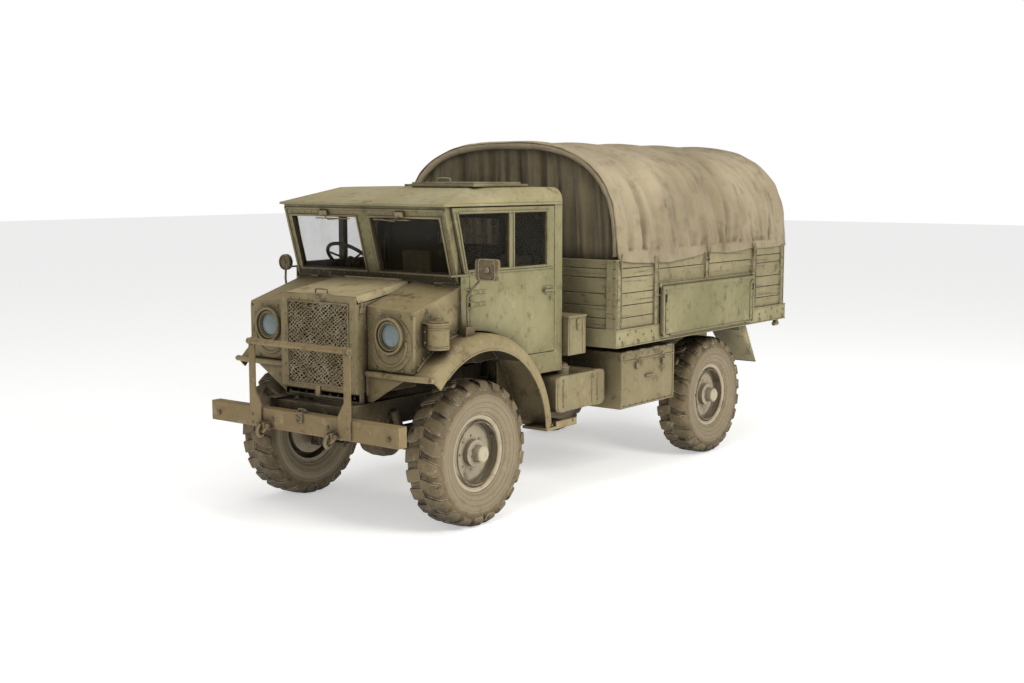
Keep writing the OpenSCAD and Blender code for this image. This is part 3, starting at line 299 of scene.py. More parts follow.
wall = times(aged_shaded, ramp(aged_shaded, radius, 0.270, 0.285), ramp(aged_shaded, radius, 0.435, 0.405))
wall = times(aged_shaded, wall, given["Sidewall"])
rings = add(aged_shaded, "ShaderNodeCombineXYZ", {0: radius}).outputs[0]
lines = add(aged_shaded, "ShaderNodeTexWave",
            {"Vector": rings, "Scale": 8.5, "Distortion": 0.0}).outputs["Fac"]
pale = mix(aged_shaded, times(aged_shaded, ramp(aged_shaded, lines, 0.22, 0.02), 0.35), rgb(152, 141, 119),
           rgb(70, 62, 48))
colour = mix(aged_shaded, times(aged_shaded, wall, 0.62), colour, pale)
rust = plus(aged_shaded, ramp(aged_shaded, blots, 0.66, 0.76), times(aged_shaded, edge, 0.6))
rust = times(aged_shaded, rust, ramp(aged_shaded, noise_of(aged_shaded, place, 3.3, 6, 0.7), 0.46, 0.62))
rust = times(aged_shaded, rust, given["Rust amount"])
colour = mix(aged_shaded, rust, colour, given["Rust"])
colour = mix(aged_shaded, times(aged_shaded, given["Grain"], 0.5), colour,
             mix(aged_shaded, specks, (0.35, 0.33, 0.3, 1), (0.68, 0.67, 0.64, 1)), "OVERLAY")
aged_shaded.links.new(colour, out["Color"])
aged_shaded.links.new(plus(aged_shaded, times(aged_shaded, blots, 0.35), 0.45), out["Roughness"])
aged_shaded.links.new(plus(aged_shaded, times(aged_shaded, blots, 0.7), maths(
    aged_shaded, "MULTIPLY", specks, 0.3)), out["Height"])
aged_shaded.links.new(round_edge.outputs[0], out["Normal"])


def blank_finish(name):
    made = bpy.data.materials.new(name)
    made.use_nodes = True
    return made, made.node_tree, made.node_tree.nodes["Principled BSDF"]


# The grime colour is also the colour of the painted shade.
def aged_shaded_finish(name, base, faded, dust=(146, 128, 98), grime_and_shade=(52, 45, 33), rust=(110, 66, 38),
                dust_amount=0.7, grime_and_corner_shade_amount=0.7, rust_amount=0.5, wear_and_edge_highlight=0.6, streaks=0.25,
                grain=0.35, bump=0.004, metallic=0.0, specular=0.35,
                corner=0.12, sidewall=0.0):
    made, tree, shader = blank_finish(name)
    look = tree.nodes.new("ShaderNodeGroup")
    look.node_tree = aged_shaded
    for key, value in (("Base", rgb(*base)), ("Faded", rgb(*faded)), ("Dust", rgb(*dust)),
                       ("Grime and shade", rgb(*grime_and_shade)), ("Rust", rgb(*rust)), ("Dust amount", dust_amount),
                       ("Grime and corner shade amount", grime_and_corner_shade_amount), ("Rust amount", rust_amount),
                       ("Wear and edge highlight", wear_and_edge_highlight), ("Streaks", streaks), ("Grain", grain),
                       ("Corner size", corner), ("Sidewall", sidewall)):
        look.inputs[key].default_value = value
    relief = add(tree, "ShaderNodeBump", {"Height": look.outputs["Height"],
                                          "Normal": look.outputs["Normal"],
                                          "Strength": 0.5, "Distance": bump})
    tree.links.new(look.outputs["Color"], shader.inputs["Base Color"])
    tree.links.new(look.outputs["Roughness"], shader.inputs["Roughness"])
    tree.links.new(relief.outputs[0], shader.inputs["Normal"])
    shader.inputs["Metallic"].default_value = metallic
    shader.inputs["Specular IOR Level"].default_value = specular
    return made


BODY_PAINT = aged_shaded_finish("body_paint", (140, 132, 96), (156, 149, 116))
CAB_PAINT = aged_shaded_finish("cab_paint", (121, 117, 84), (140, 135, 101), dust=(128, 110, 80),
                        streaks=0.4, rust_amount=0.45, dust_amount=0.9)
HOOD_PAINT = aged_shaded_finish("hood_paint", (156, 144, 110), (176, 164, 128), dust=(150, 130, 96),
                         rust_amount=0.9, streaks=0.3, grime_and_corner_shade_amount=0.6)
NOSE_PAINT = aged_shaded_finish("nose_paint", (128, 116, 84), (148, 136, 102), dust=(138, 116, 82),
                         grime_and_corner_shade_amount=0.85, rust_amount=0.8, streaks=0.35)
BUMPER_PAINT = aged_shaded_finish("bumper_paint", (124, 108, 76), (140, 122, 88), rust_amount=0.9,
                           grime_and_corner_shade_amount=0.8, dust=(132, 110, 78))
CHASSIS_PAINT = aged_shaded_finish("chassis_paint", (62, 56, 42), (84, 76, 58), dust=(112, 96, 70),
                            grime_and_shade=(30, 26, 19), rust_amount=0.6, dust_amount=0.8, grime_and_corner_shade_amount=0.8)
WHEEL_PAINT = aged_shaded_finish("wheel_paint", (176, 166, 142), (194, 184, 160), dust=(180, 168, 144),
                          dust_amount=0.9, rust_amount=0.4, grime_and_corner_shade_amount=0.75, grime_and_shade=(70, 62, 48))
BOX_PAINT = aged_shaded_finish("box_paint", (126, 118, 88), (142, 132, 101), rust_amount=0.5,
                        dust=(132, 116, 86))
HARDWARE = aged_shaded_finish("hardware", (96, 84, 60), (120, 106, 80), rust_amount=1.0, wear_and_edge_highlight=1.0,
                       grime_and_corner_shade_amount=0.9)
MESH_STEEL = aged_shaded_finish("mesh_steel", (164, 148, 112), (190, 174, 138), rust=(116, 84, 54),
                         rust_amount=0.7, wear_and_edge_highlight=1.0, grime_and_corner_shade_amount=0.55, corner=0.02)
CORE = aged_shaded_finish("radiator_core", (34, 31, 25), (46, 42, 34), grime_and_corner_shade_amount=0.6)
IRON = aged_shaded_finish("engine_iron", (74, 72, 62), (92, 88, 74), grime_and_corner_shade_amount=0.9, metallic=0.1)
PIPE = aged_shaded_finish("exhaust_steel", (92, 66, 46), (116, 86, 62), rust_amount=1.0)
RUBBER = aged_shaded_finish("tyre_rubber", (92, 82, 64), (112, 100, 78), dust=(138, 122, 95),
                     grime_and_shade=(30, 26, 20), rust_amount=0.0, dust_amount=0.6, grime_and_corner_shade_amount=1.0,
                     wear_and_edge_highlight=1.0, grain=0.8, bump=0.006, specular=0.2, corner=0.06, sidewall=1.0)
GRIP = aged_shaded_finish("wheel_grip", (30, 27, 22), (44, 40, 33), rust_amount=0.0, wear_and_edge_highlight=0.3)
print("finishes", len(bpy.data.materials))

# %% [markdown]
# ## Painted planks
# Planks have grain that runs along them. A wood texture could be painted, but
# noise stretched along the plank gives grain and cracks on any length of board.

# %% Planks
def plank_finish(name, along, base, faded):
    made = aged_shaded_finish(name, base, faded, grime_and_corner_shade_amount=0.85, rust_amount=0.15, streaks=0.5)
    tree = made.node_tree
    look = [n for n in tree.nodes if n.type == "GROUP"][0]
    place = add(tree, "ShaderNodeTexCoord").outputs["Object"]
    thin = (60, 1.6, 60) if along == "y" else (1.6, 60, 60)
    grain = noise_of(tree, place, 1.0, 4, 0.6, thin)
    cracks = ramp(tree, grain, 0.58, 0.68)
    colour = mix(tree, times(tree, cracks, 0.55), look.outputs["Color"],
                 rgb(70, 60, 44))
    tree.links.new(colour, tree.nodes["Principled BSDF"].inputs["Base Color"])
    relief = [n for n in tree.nodes if n.type == "BUMP"][0]
    tree.links.new(maths(tree, "SUBTRACT", look.outputs["Height"], cracks, clamp=False),
                   relief.inputs["Height"])
    return made


SIDE_PLANKS = plank_finish("side_planks", "y", (132, 124, 92), (148, 140, 108))
CROSS_PLANKS = plank_finish("cross_planks", "x", (132, 124, 92), (148, 140, 108))
print("plank finishes", SIDE_PLANKS.name, CROSS_PLANKS.name)

# %% [markdown]
# ## Canvas and seat cloth
# Cloth is threads that pass over and under each other. Two crossed waves make the
# weave at thread size, and slow noise over it makes stains and rain marks. Folds
# and creases are darkened as painted shade.

# %% Cloth
woven, given, out = group("woven_cloth", [
    ("Light", "c"), ("Dark", "c"), ("Stain and fold shade", "c"), ("Thread", "f"), ("Stain and fold shade amount", "f")],
    [("Color", "c"), ("Height", "f")])
place = add(woven, "ShaderNodeUVMap", uv_map="cloth").outputs["UV"]
spot = add(woven, "ShaderNodeTexCoord").outputs["Object"]
threads = [add(woven, "ShaderNodeTexWave", {"Vector": place, "Scale": given["Thread"],
                                            "Distortion": 0.6, "Detail": 1.0},
               bands_direction=d).outputs["Fac"] for d in ("X", "Y")]
weave = times(woven, threads[0], threads[1])
clouds = noise_of(woven, spot, 1.1, 7, 0.6)
marks = noise_of(woven, spot, 5.5, 8, 0.72)
runs = noise_of(woven, spot, 9.0, 5, 0.6, (1, 1, 0.12))
# Painted shade: the cloth darkens towards the stain colour where it is shut in, in folds and
# creases.
fold_shade = ramp(woven, openness(woven, 0.12), 0.98, 0.62)
colour = mix(woven, ramp(woven, clouds, 0.35, 0.68), given["Dark"], given["Light"])
colour = mix(woven, times(woven, weave, 0.22), colour, given["Dark"])
stains_and_fold_shade = plus(woven, times(woven, ramp(woven, marks, 0.5, 0.74), 0.7),
                times(woven, ramp(woven, runs, 0.52, 0.74), 0.5))
stains_and_fold_shade = plus(woven, stains_and_fold_shade, times(woven, fold_shade, 1.2))
colour = mix(woven, times(woven, stains_and_fold_shade, given["Stain and fold shade amount"]), colour,
             given["Stain and fold shade"])
woven.links.new(colour, out["Color"])
woven.links.new(plus(woven, times(woven, marks, 0.8),
                      times(woven, weave, 0.2)), out["Height"])


def cloth_finish(name, light, dark, stain_and_fold_shade, thread=260.0, stain_and_fold_shade_amount=0.5):
    made, tree, shader = blank_finish(name)
    look = tree.nodes.new("ShaderNodeGroup")
    look.node_tree = woven
    for key, value in (("Light", rgb(*light)), ("Dark", rgb(*dark)), ("Stain and fold shade", rgb(*stain_and_fold_shade)),
                       ("Thread", thread), ("Stain and fold shade amount", stain_and_fold_shade_amount)):
        look.inputs[key].default_value = value
    relief = add(tree, "ShaderNodeBump", {"Height": look.outputs["Height"], "Strength": 0.7,
                                          "Distance": 0.012})
    tree.links.new(look.outputs["Color"], shader.inputs["Base Color"])
    tree.links.new(relief.outputs[0], shader.inputs["Normal"])
    shader.inputs["Roughness"].default_value = 0.95
    shader.inputs["Specular IOR Level"].default_value = 0.15
    shader.inputs["Sheen Weight"].default_value = 0.15
    return made


CANVAS = cloth_finish("canvas", (180, 165, 136), (150, 136, 108), (88, 77, 57), stain_and_fold_shade_amount=0.75)
# The curtain's canvas is a darker copy of the tilt's canvas: painted shade under the roof.
CURTAIN_IN_SHADE = cloth_finish("curtain_canvas_in_shade", (128, 117, 92), (108, 98, 76), (66, 59, 44),
                       stain_and_fold_shade_amount=0.7)
SEAT_CLOTH = cloth_finish("seat_cloth", (128, 116, 90), (104, 93, 70), (56, 48, 35))
print("cloth finishes", CANVAS.name, CURTAIN_IN_SHADE.name, SEAT_CLOTH.name)

# %% [markdown]
# ## Glass and the floor
# Old glass is thin and nearly clear under a film of dust. The film is noise that
# makes the glass less clear and less smooth, so dark windows stay believable.

# %% Glass
def glass_finish(name, tint, clear, rough):
    made, tree, shader = blank_finish(name)
    place = add(tree, "ShaderNodeTexCoord").outputs["Object"]
    film = ramp(tree, noise_of(tree, place, 5.0, 6, 0.7), 0.35, 0.8)
    dusty = plus(tree, times(tree, film, 0.06), clear)
    tree.links.new(dusty, shader.inputs["Alpha"])
    tree.links.new(mix(tree, times(tree, film, 0.12), rgb(*tint), rgb(150, 140, 112)),
                   shader.inputs["Base Color"])
    tree.links.new(plus(tree, times(tree, film, 0.3), rough),
                   shader.inputs["Roughness"])
    return made


# The window glass has a near-black tint, which darkens the cab seen through it as painted shade.
WINDOW = glass_finish("window_glass", (20, 22, 18), 0.10, 0.04)
LAMP_GLASS = glass_finish("lamp_glass", (118, 132, 134), 0.93, 0.12)

floor_finish, _, shader = blank_finish("floor_finish")
for key, value in (("Base Color", (0.93, 0.93, 0.92, 1)), ("Roughness", 0.9),
                   ("Emission Color", (1, 1, 1, 1)), ("Emission Strength", 0.45)):
    shader.inputs[key].default_value = value
floor.data.materials.append(floor_finish)

# %% [markdown]
# ## Paint for the parts that came from CAD
# A CAD part whose shape is right keeps its mesh and only gets a better finish.

# %% Give each CAD part its finish
FINISHES = {
    BODY_PAINT: "cargo_floor rear_mudguards cab_roof roof_hatch",
    CAB_PAINT: "cab_cowl cab_back cab_floor windshield_frame door_left door_right "
               "dropside_left dropside_right engine_cover",
    HOOD_PAINT: "hood",
    HARDWARE: "mirrors",
    NOSE_PAINT: "nose_cowl wing_boxes front_fender_left front_fender_right lamps cab_steps "
                "side_canister",
    BUMPER_PAINT: "front_bumper brush_guard",
    BOX_PAINT: "fuel_tanks tool_boxes",
    CHASSIS_PAINT: "frame_rails front_axle rear_axle leaf_springs propshafts knuckle_left "
                   "knuckle_right tie_rod canopy_hoops steering_column",
    SIDE_PLANKS: "side_boards",
    CROSS_PLANKS: "front_board tailgate",
    WHEEL_PAINT: "wheel_front_left wheel_front_right wheel_rear_left wheel_rear_right",
    WINDOW: "windshield_glass door_glass_left door_glass_right",
    GRIP: "steering_wheel",
    CORE: "radiator",
    IRON: "powertrain",
    PIPE: "exhaust",
}
for finish, names in FINISHES.items():
    for name in names.split():
        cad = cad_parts[name]
        cad.data.materials.clear()
        cad.data.materials.append(finish)
print("CAD parts finished", sum(len(n.split()) for n in FINISHES.values()))

# %% [markdown]
# ## Tools for building pieces
# A piece starts as a bmesh, is shaped by operators, and becomes an object that
# rides on a CAD body. Sharp edges are marked by their angle, so that flat faces
# stay flat and round ones look round.

# %% Piece helpers
def piece(name, form, finish, body="chassis", sharp=35, weld=True):
    if weld:
        bmesh.ops.remove_doubles(form, verts=form.verts, dist=0.00002)
    bmesh.ops.recalc_face_normals(form, faces=form.faces)
    limit = math.radians(sharp)
    for e in form.edges:
        e.smooth = not (len(e.link_faces) == 2 and e.calc_face_angle(0) > limit)
    for f in form.faces:
        f.smooth = True
    obj = as_object(form, name)
    obj.data.materials.append(finish)
    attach(obj, body)
    return obj


def all_of(form):
    return form.verts[:] + form.edges[:] + form.faces[:]


def edges_of(verts):
    return list({e for v in verts for e in v.link_edges})


def turned(direction):
    """The turn that points Z along a direction."""
    return Vector(direction).to_track_quat("Z", "Y").to_matrix().to_4x4()


def bar(form, low, high, bevel=1.5, place=at, segments=2):
    """A block between two corners in millimetres, its edges rounded."""
    made = bmesh.ops.create_cube(form, size=1.0)["verts"]
    low, high = Vector(low), Vector(high)
    edges = edges_of(made)
    size, middle = high - low, (low + high) / 2
    for v in made:
        v.co = Vector([middle[i] + v.co[i] * size[i] for i in range(3)])
    if bevel:
        made = bmesh.ops.bevel(form, geom=edges, offset=bevel, affect="EDGES", offset_type="OFFSET",
                               segments=segments, profile=0.5, material=-1)["verts"]
    for v in made:
        v.co = place(*v.co)
    return made


def rod(form, start, end, radius, sides=16, top=None):
    """A round bar between two points in metres."""
    start, end = Vector(start), Vector(end)
    made = bmesh.ops.create_cone(form, cap_ends=True, segments=sides, radius1=radius / 1000,
                                 radius2=(radius if top is None else top) / 1000,
                                 depth=(end - start).length)["verts"]
    bmesh.ops.transform(form, verts=made,
                        matrix=Matrix.Translation((start + end) / 2) @ turned(end - start))
    return made


def bolt(form, place, direction, size=9.0):
    """A hexagon head on a washer."""
    place, out = Vector(place), Vector(direction).normalized()
    rod(form, place - out * 0.002, place + out * 0.002, size * 1.35, 14)
    rod(form, place, place + out * size * 0.0008, size, 6, size * 0.92)


def rivet(form, place, direction, size=6.0):
    made = bmesh.ops.create_uvsphere(form, u_segments=10, v_segments=6, radius=size / 1000)["verts"]
    bmesh.ops.scale(form, verts=made, vec=(1, 1, 0.5))
    bmesh.ops.transform(form, verts=made, matrix=Matrix.Translation(place) @ turned(direction))


def circle(form, sides, radius):
    return bmesh.ops.create_circle(form, cap_ends=False, segments=sides, radius=radius)["verts"]


def ring(form, place, direction, radius, thick, steps=48, sides=10, angle=360, turn=0, flat=1.0):
    """A hoop of round section, or part of one."""
    made = circle(form, sides, thick / 1000)
    bmesh.ops.scale(form, verts=made, vec=(1, flat, 1))
    bmesh.ops.rotate(form, verts=made, matrix=Matrix.Rotation(math.radians(90), 3, "X"))
    bmesh.ops.translate(form, verts=made, vec=(radius / 1000, 0, 0))
    edges = edges_of(made)
    whole = angle >= 360
    bmesh.ops.spin(form, geom=made + edges, cent=(0, 0, 0), axis=(0, 0, 1),
                   angle=math.radians(angle), steps=steps, use_merge=whole)
    every = set(made)
    grow = list(made)
    while grow:
        v = grow.pop()
        for e in v.link_edges:
            o = e.other_vert(v)
            if o not in every:
                every.add(o)
                grow.append(o)
    if not whole:
        ends = [e for e in edges_of(every) if len(e.link_faces) == 1]
        bmesh.ops.holes_fill(form, edges=ends, sides=0)
    bmesh.ops.transform(form, verts=list(every), matrix=Matrix.Translation(place) @ turned(
        direction) @ Matrix.Rotation(math.radians(turn), 4, "Z"))
    return list(every)


def tube(form, points, radius, sides=10, flat=1.0):
    """A round bar bent through points in metres."""
    points = [Vector(p) for p in points]
    last, up = None, Vector((0, 0, 1))
    for i, p in enumerate(points):
        ahead = (points[min(i + 1, len(points) - 1)] - points[max(i - 1, 0)]).normalized()
        side = ahead.cross(up)
        side = side.normalized() if side.length > 0.05 else Vector((1, 0, 0))
        over = side.cross(ahead).normalized()
        r = radius[i] if isinstance(radius, (list, tuple)) else radius
        loop = circle(form, sides, r / 1000)
        bmesh.ops.scale(form, verts=loop, vec=(1, flat, 1))
        turn = Matrix((side, over, -ahead)).transposed().to_4x4()
        bmesh.ops.transform(form, verts=loop, matrix=Matrix.Translation(p) @ turn)
        edges = edges_of(loop)
        if last:
            bmesh.ops.bridge_loops(form, edges=last + edges)
        else:
            first = edges
        last = edges
    for end in (first, last):
        bmesh.ops.holes_fill(form, edges=end, sides=0)


def mirrored(form):
    """Copies everything so far to the other side, and gives back the copy's points."""
    made = bmesh.ops.duplicate(form, geom=all_of(form))["geom"]
    copied = [g for g in made if isinstance(g, bmesh.types.BMVert)]
    bmesh.ops.scale(form, vec=(-1, 1, 1), verts=copied)
    bmesh.ops.reverse_faces(form, faces=[g for g in made if isinstance(g, bmesh.types.BMFace)])
    return copied


def sided(name, panel, form, side):
    """A piece on a left or right panel, drawn on the left and turned over for the right."""
    if side == "right":
        bmesh.ops.scale(form, verts=form.verts, vec=(-1, 1, 1))
        bmesh.ops.reverse_faces(form, faces=form.faces)
    return piece(name + side, form, CAB_PAINT, panel + side)


def ball(form, place, radius, flat=(1, 1, 1), around=32, up=16):
    """A ball, flattened before it is put in its place."""
    made = bmesh.ops.create_uvsphere(form, u_segments=around, v_segments=up,
                                     radius=radius / 1000)["verts"]
    bmesh.ops.scale(form, verts=made, vec=flat)
    bmesh.ops.translate(form, verts=made, vec=place)


def bars(form, blocks, bevel=2.0, place=at):
    """A block for each pair of opposite corners."""
    for low, high in blocks:
        bar(form, low, high, bevel, place)


def border(form, low, high, wide, depth, bevel, place=at):
    """Four flat strips round a window, each `wide` across, from x and z low to high."""
    (x0, z0), (x1, z1), (y0, y1) = low, high, depth
    bars(form, (((x0, y0, z0), (x1, y1, z0 + wide)), ((x0, y0, z1 - wide), (x1, y1, z1)),
                ((x0, y0, z0), (x0 + wide, y1, z1)), ((x1 - wide, y0, z0), (x1, y1, z1))),
         bevel, place)


def bolts(form, spots, direction=(1, 0, 0), size=8.0, place=at):
    for spot in spots:
        bolt(form, place(*spot), direction, size)


def rivets(form, spots, direction=(1, 0, 0), size=5.0, place=at):
    for spot in spots:
        rivet(form, place(*spot), direction, size)


def finished(obj, *modifiers):
    """Applies modifiers at once, so the mesh itself carries the shape."""
    for kind, settings in modifiers:
        made = obj.modifiers.new(kind.lower(), kind)
        for key, value in settings.items():
            setattr(made, key, value)
    bpy.context.view_layer.update()
    graph = bpy.context.evaluated_depsgraph_get()
    mesh = bpy.data.meshes.new_from_object(obj.evaluated_get(graph))
    obj.modifiers.clear()
    obj.data = mesh
    return obj

# %% [markdown]
# ## Tyres
# A cross-country tyre is a smooth carcass with tall rubber bars that sweep from
# the middle of the tread out over the shoulder. The carcass is one outline spun
# round the axle. One bar is a bent block, copied round the tyre on both sides.

# %% The carcass and its bars
def tyre_form(centre):
    form = bmesh.new()
    outline = [(262, -94), (272, -101), (280, -112), (284, -113), (290, -114), (304, -121),
               (308, -126), (314, -127), (332, -134), (350, -139), (354, -142), (360, -142),
               (364, -140), (392, -143), (396, -140), (404, -140), (408, -142), (440, -141),
               (470, -134), (492, -122), (502, -100), (506, -60), (507, 0)]
    outline += [(r, -x) for r, x in reversed(outline[:-1])]
    points = [form.verts.new((x / 1000, r / 1000, 0)) for r, x in outline]
    edges = [form.edges.new(pair) for pair in zip(points, points[1:])]
    bmesh.ops.spin(form, geom=points + edges, cent=(0, 0, 0), axis=(1, 0, 0),
                   angle=math.tau, steps=96, use_merge=True)
    bmesh.ops.recalc_face_normals(form, faces=form.faces)
    block = bmesh.new()
    bmesh.ops.create_cube(block, size=1.0)
    long_edges = [e for e in block.edges if abs(e.verts[0].co.x - e.verts[1].co.x) > 0.5]
    bmesh.ops.subdivide_edges(block, edges=long_edges, cuts=7, use_grid_fill=True)
    bmesh.ops.bevel(block, geom=[e for e in block.edges if len(e.link_faces) == 2
                                 and e.calc_face_angle(0) > 1], offset=0.09,
                    affect="EDGES", segments=1, profile=0.5, material=-1)
    path = [(-6, 524, 0), (22, 525, 6), (52, 525, 14), (84, 524, 24), (112, 520, 33),
            (132, 509, 39), (144, 488, 42), (145, 462, 44)]
    for v in block.verts:
        t = max(0.0, min(1.0, v.co.x + 0.5)) * (len(path) - 1)
        i = min(int(t), len(path) - 2)
        x, r, lean = [a + (b - a) * (t - i) for a, b in zip(path[i], path[i + 1])]
        inwards = 0.5 - v.co.z
        past = max(0.0, (t - 4.2) / 2.8)
        x -= inwards * 26 * min(1.0, past)
        r -= inwards * 34 * (1 - 0.65 * min(1.0, past))
        wide = 44 + 7 * math.sin(math.pi * t / 7)
        around = (lean + v.co.y * 2 * wide * (1.0 - 0.12 * (v.co.z + 0.5))) / 500
        v.co = (x / 1000, r / 1000 * math.cos(around), r / 1000 * math.sin(around))
    count = 22
    bmesh.ops.rotate(block, verts=mirrored(block), matrix=Matrix.Rotation(math.pi / count, 3, "X"))
    bmesh.ops.spin(block, geom=all_of(block), cent=(0, 0, 0),
                   axis=(1, 0, 0), angle=math.tau * (count - 1) / count, steps=count - 1,
                   use_duplicate=True)
    bmesh.ops.recalc_face_normals(block, faces=block.faces)
    mesh = bpy.data.meshes.new("bars")
    block.to_mesh(mesh)
    block.free()
    form.from_mesh(mesh)
    bpy.data.meshes.remove(mesh)
    bmesh.ops.translate(form, verts=form.verts, vec=centre)
    return form


SIDES = {"left": 1, "right": -1}
CORNERS = {end + "_" + name: (side, Vector((side * HALF_TRACK, AXLE.y + rear * WHEELBASE, AXLE.z)))
           for end, rear in (("front", 0), ("rear", 1)) for name, side in SIDES.items()}
for corner, (side, centre) in CORNERS.items():
    made = piece("tread_tyre_" + corner, tyre_form(centre), RUBBER, "wheel_" + corner, 50,
                 weld=False)
    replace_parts(made, "tyre_" + corner)
print("tyre faces", len(made.data.polygons))

# %% [markdown]
# ## Wheel fittings
# Each wheel is a two-part rim held by a ring of nuts, round a hub with its own
# studs and a domed cap. A full ring of nuts is one bolt turned round the axle.

# %% Nuts, studs and valve
def wheel_fittings(side, centre):
    form = bmesh.new()
    out = Vector((side, 0, 0))
    for count, start, x, radius, size in ((10, 0.5, 0.022, 0.196, 10), (8, 0, 0.031, 0.122, 11),
                                          (8, 0.3, 0.098, 0.058, 6)):
        for i in range(count):
            turn = Matrix.Rotation(math.tau * (i + start) / count, 4, "X")
            bolt(form, turn @ Vector((side * x, 0, radius)), out, size)
    ring(form, Vector((side * 0.024, 0, 0)), out, 158, 5, 64, 8)
    ring(form, Vector((side * 0.104, 0, 0)), out, 226, 6, 64, 8)
    tube(form, [Vector((side * 0.02, 0.20, 0.09)), Vector((side * 0.06, 0.205, 0.092)),
                Vector((side * 0.10, 0.21, 0.094))], [5, 5, 4], 8)
    bmesh.ops.translate(form, verts=form.verts, vec=centre)
    return form


for corner, (side, centre) in CORNERS.items():
    made = piece("wheel_fittings_" + corner, wheel_fittings(side, centre), HARDWARE,
                 "wheel_" + corner)
low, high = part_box("wheel_front_left")
print("wheel from", round(low.x, 3), "to", round(high.x, 3), "faces", len(made.data.polygons))

# %% [markdown]
# ## The canvas tilt
# The tilt is one heavy sheet over five hoops. It hangs a little between them,
# and gathers into upright folds where ropes pull its hem down. A grid is bent
# round the arch, and every point moves in or out by what the cloth would do.

# %% The sheet
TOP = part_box("canopy")[1]
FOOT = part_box("canopy")[0]
HOOPS = [1584, 2258, 2932.5, 3606.75, 4281]
FRONT_EDGE, REAR_EDGE = FOOT.y, TOP.y
POWER = 2.78


def arch_point(share, grow=0.0, foot=0.0):
    """A point round the arch, 0 at the left hem and 1 at the right, grown outwards."""
    straight = 0.17
    half_x, rise = TOP.x + grow, TOP.z - FOOT.z + grow
    if share < straight or share > 1 - straight:
        drop = (straight - min(share, 1 - share)) / straight
        side = 1 if share < 0.5 else -1
        z = FOOT.z + foot + (rise * 0.36 - foot) * (1 - drop)
    else:
        angle = math.pi * (share - straight) / (1 - 2 * straight)
        start = math.asin(0.36 ** (POWER / 2))
        angle = start + (math.pi - 2 * start) * angle / math.pi
        side = 1 if math.cos(angle) > 0 else -1
        z = FOOT.z + rise * abs(math.sin(angle)) ** (2 / POWER)
        if abs(math.cos(angle)) < 0.999:
            x = abs(math.cos(angle)) ** (2 / POWER) * half_x
            return Vector((side * x, 0, z))
    level = max(0.0, min(1.0, (z - FOOT.z) / rise))
    return Vector((side * half_x * (1 - level ** POWER) ** (1 / POWER), 0, z))


def arch_out(share, grow=0.0):
    """The way out of the arch at that point."""
    step = 0.004
    a, b = arch_point(max(0, share - step), grow), arch_point(min(1, share + step), grow)
    along = b - a
    return Vector((along.z, 0, -along.x)).normalized()


def fold(y, seed, pitch):
    """Uneven upright folds, sharp at their crests."""
    value = noise.noise(Vector((y * pitch, seed, 0.3))) + 0.5 * noise.noise(
        Vector((y * pitch * 2.3, seed + 5, 1.7)))
    return 1 - 2.2 * abs(value)


random.seed(11)
CREASES = [(1, AXLE.y + 2.90, 0.04, 0.030, 0.060), (1, AXLE.y + 1.86, -0.10, 0.034, 0.045)]
for side in (1, -1):
    spot = FRONT_EDGE + 0.12
    while spot < REAR_EDGE - 0.1:
        CREASES.append((side, spot, random.uniform(-0.5, 0.5), random.uniform(0.016, 0.05),
                        random.uniform(0.014, 0.042)))
        spot += random.uniform(0.07, 0.26)
SPANS = [(1.46, 2.90, 0.058), (2.90, 3.72, 0.026), (3.72, 4.42, 0.016)]


def creases(y, left, share):
    """Soft ridges that lean, each with a hollow beside it."""
    total = 0.0
    down = min(share, 1 - share)
    for side, middle, lean, width, height in CREASES:
        if side == left:
            away = (y - middle - lean * down) / (width * (1 + 1.2 * down))
            if abs(away) < 4:
                total += height * (math.exp(-away * away) - 0.8 * math.exp(-(away - 1.6) ** 2))
    return total


def cloth_grid(columns, rows, wide, deep):
    """A flat grid from -1 to 1, with its threads laid out at real size."""
    form = bmesh.new()
    bmesh.ops.create_grid(form, x_segments=columns, y_segments=rows, size=1.0)
    cloth = form.loops.layers.uv.new("cloth")
    for f in form.faces:
        for loop in f.loops:
            loop[cloth].uv = (loop.vert.co.x * wide, loop.vert.co.y * deep)
    return form


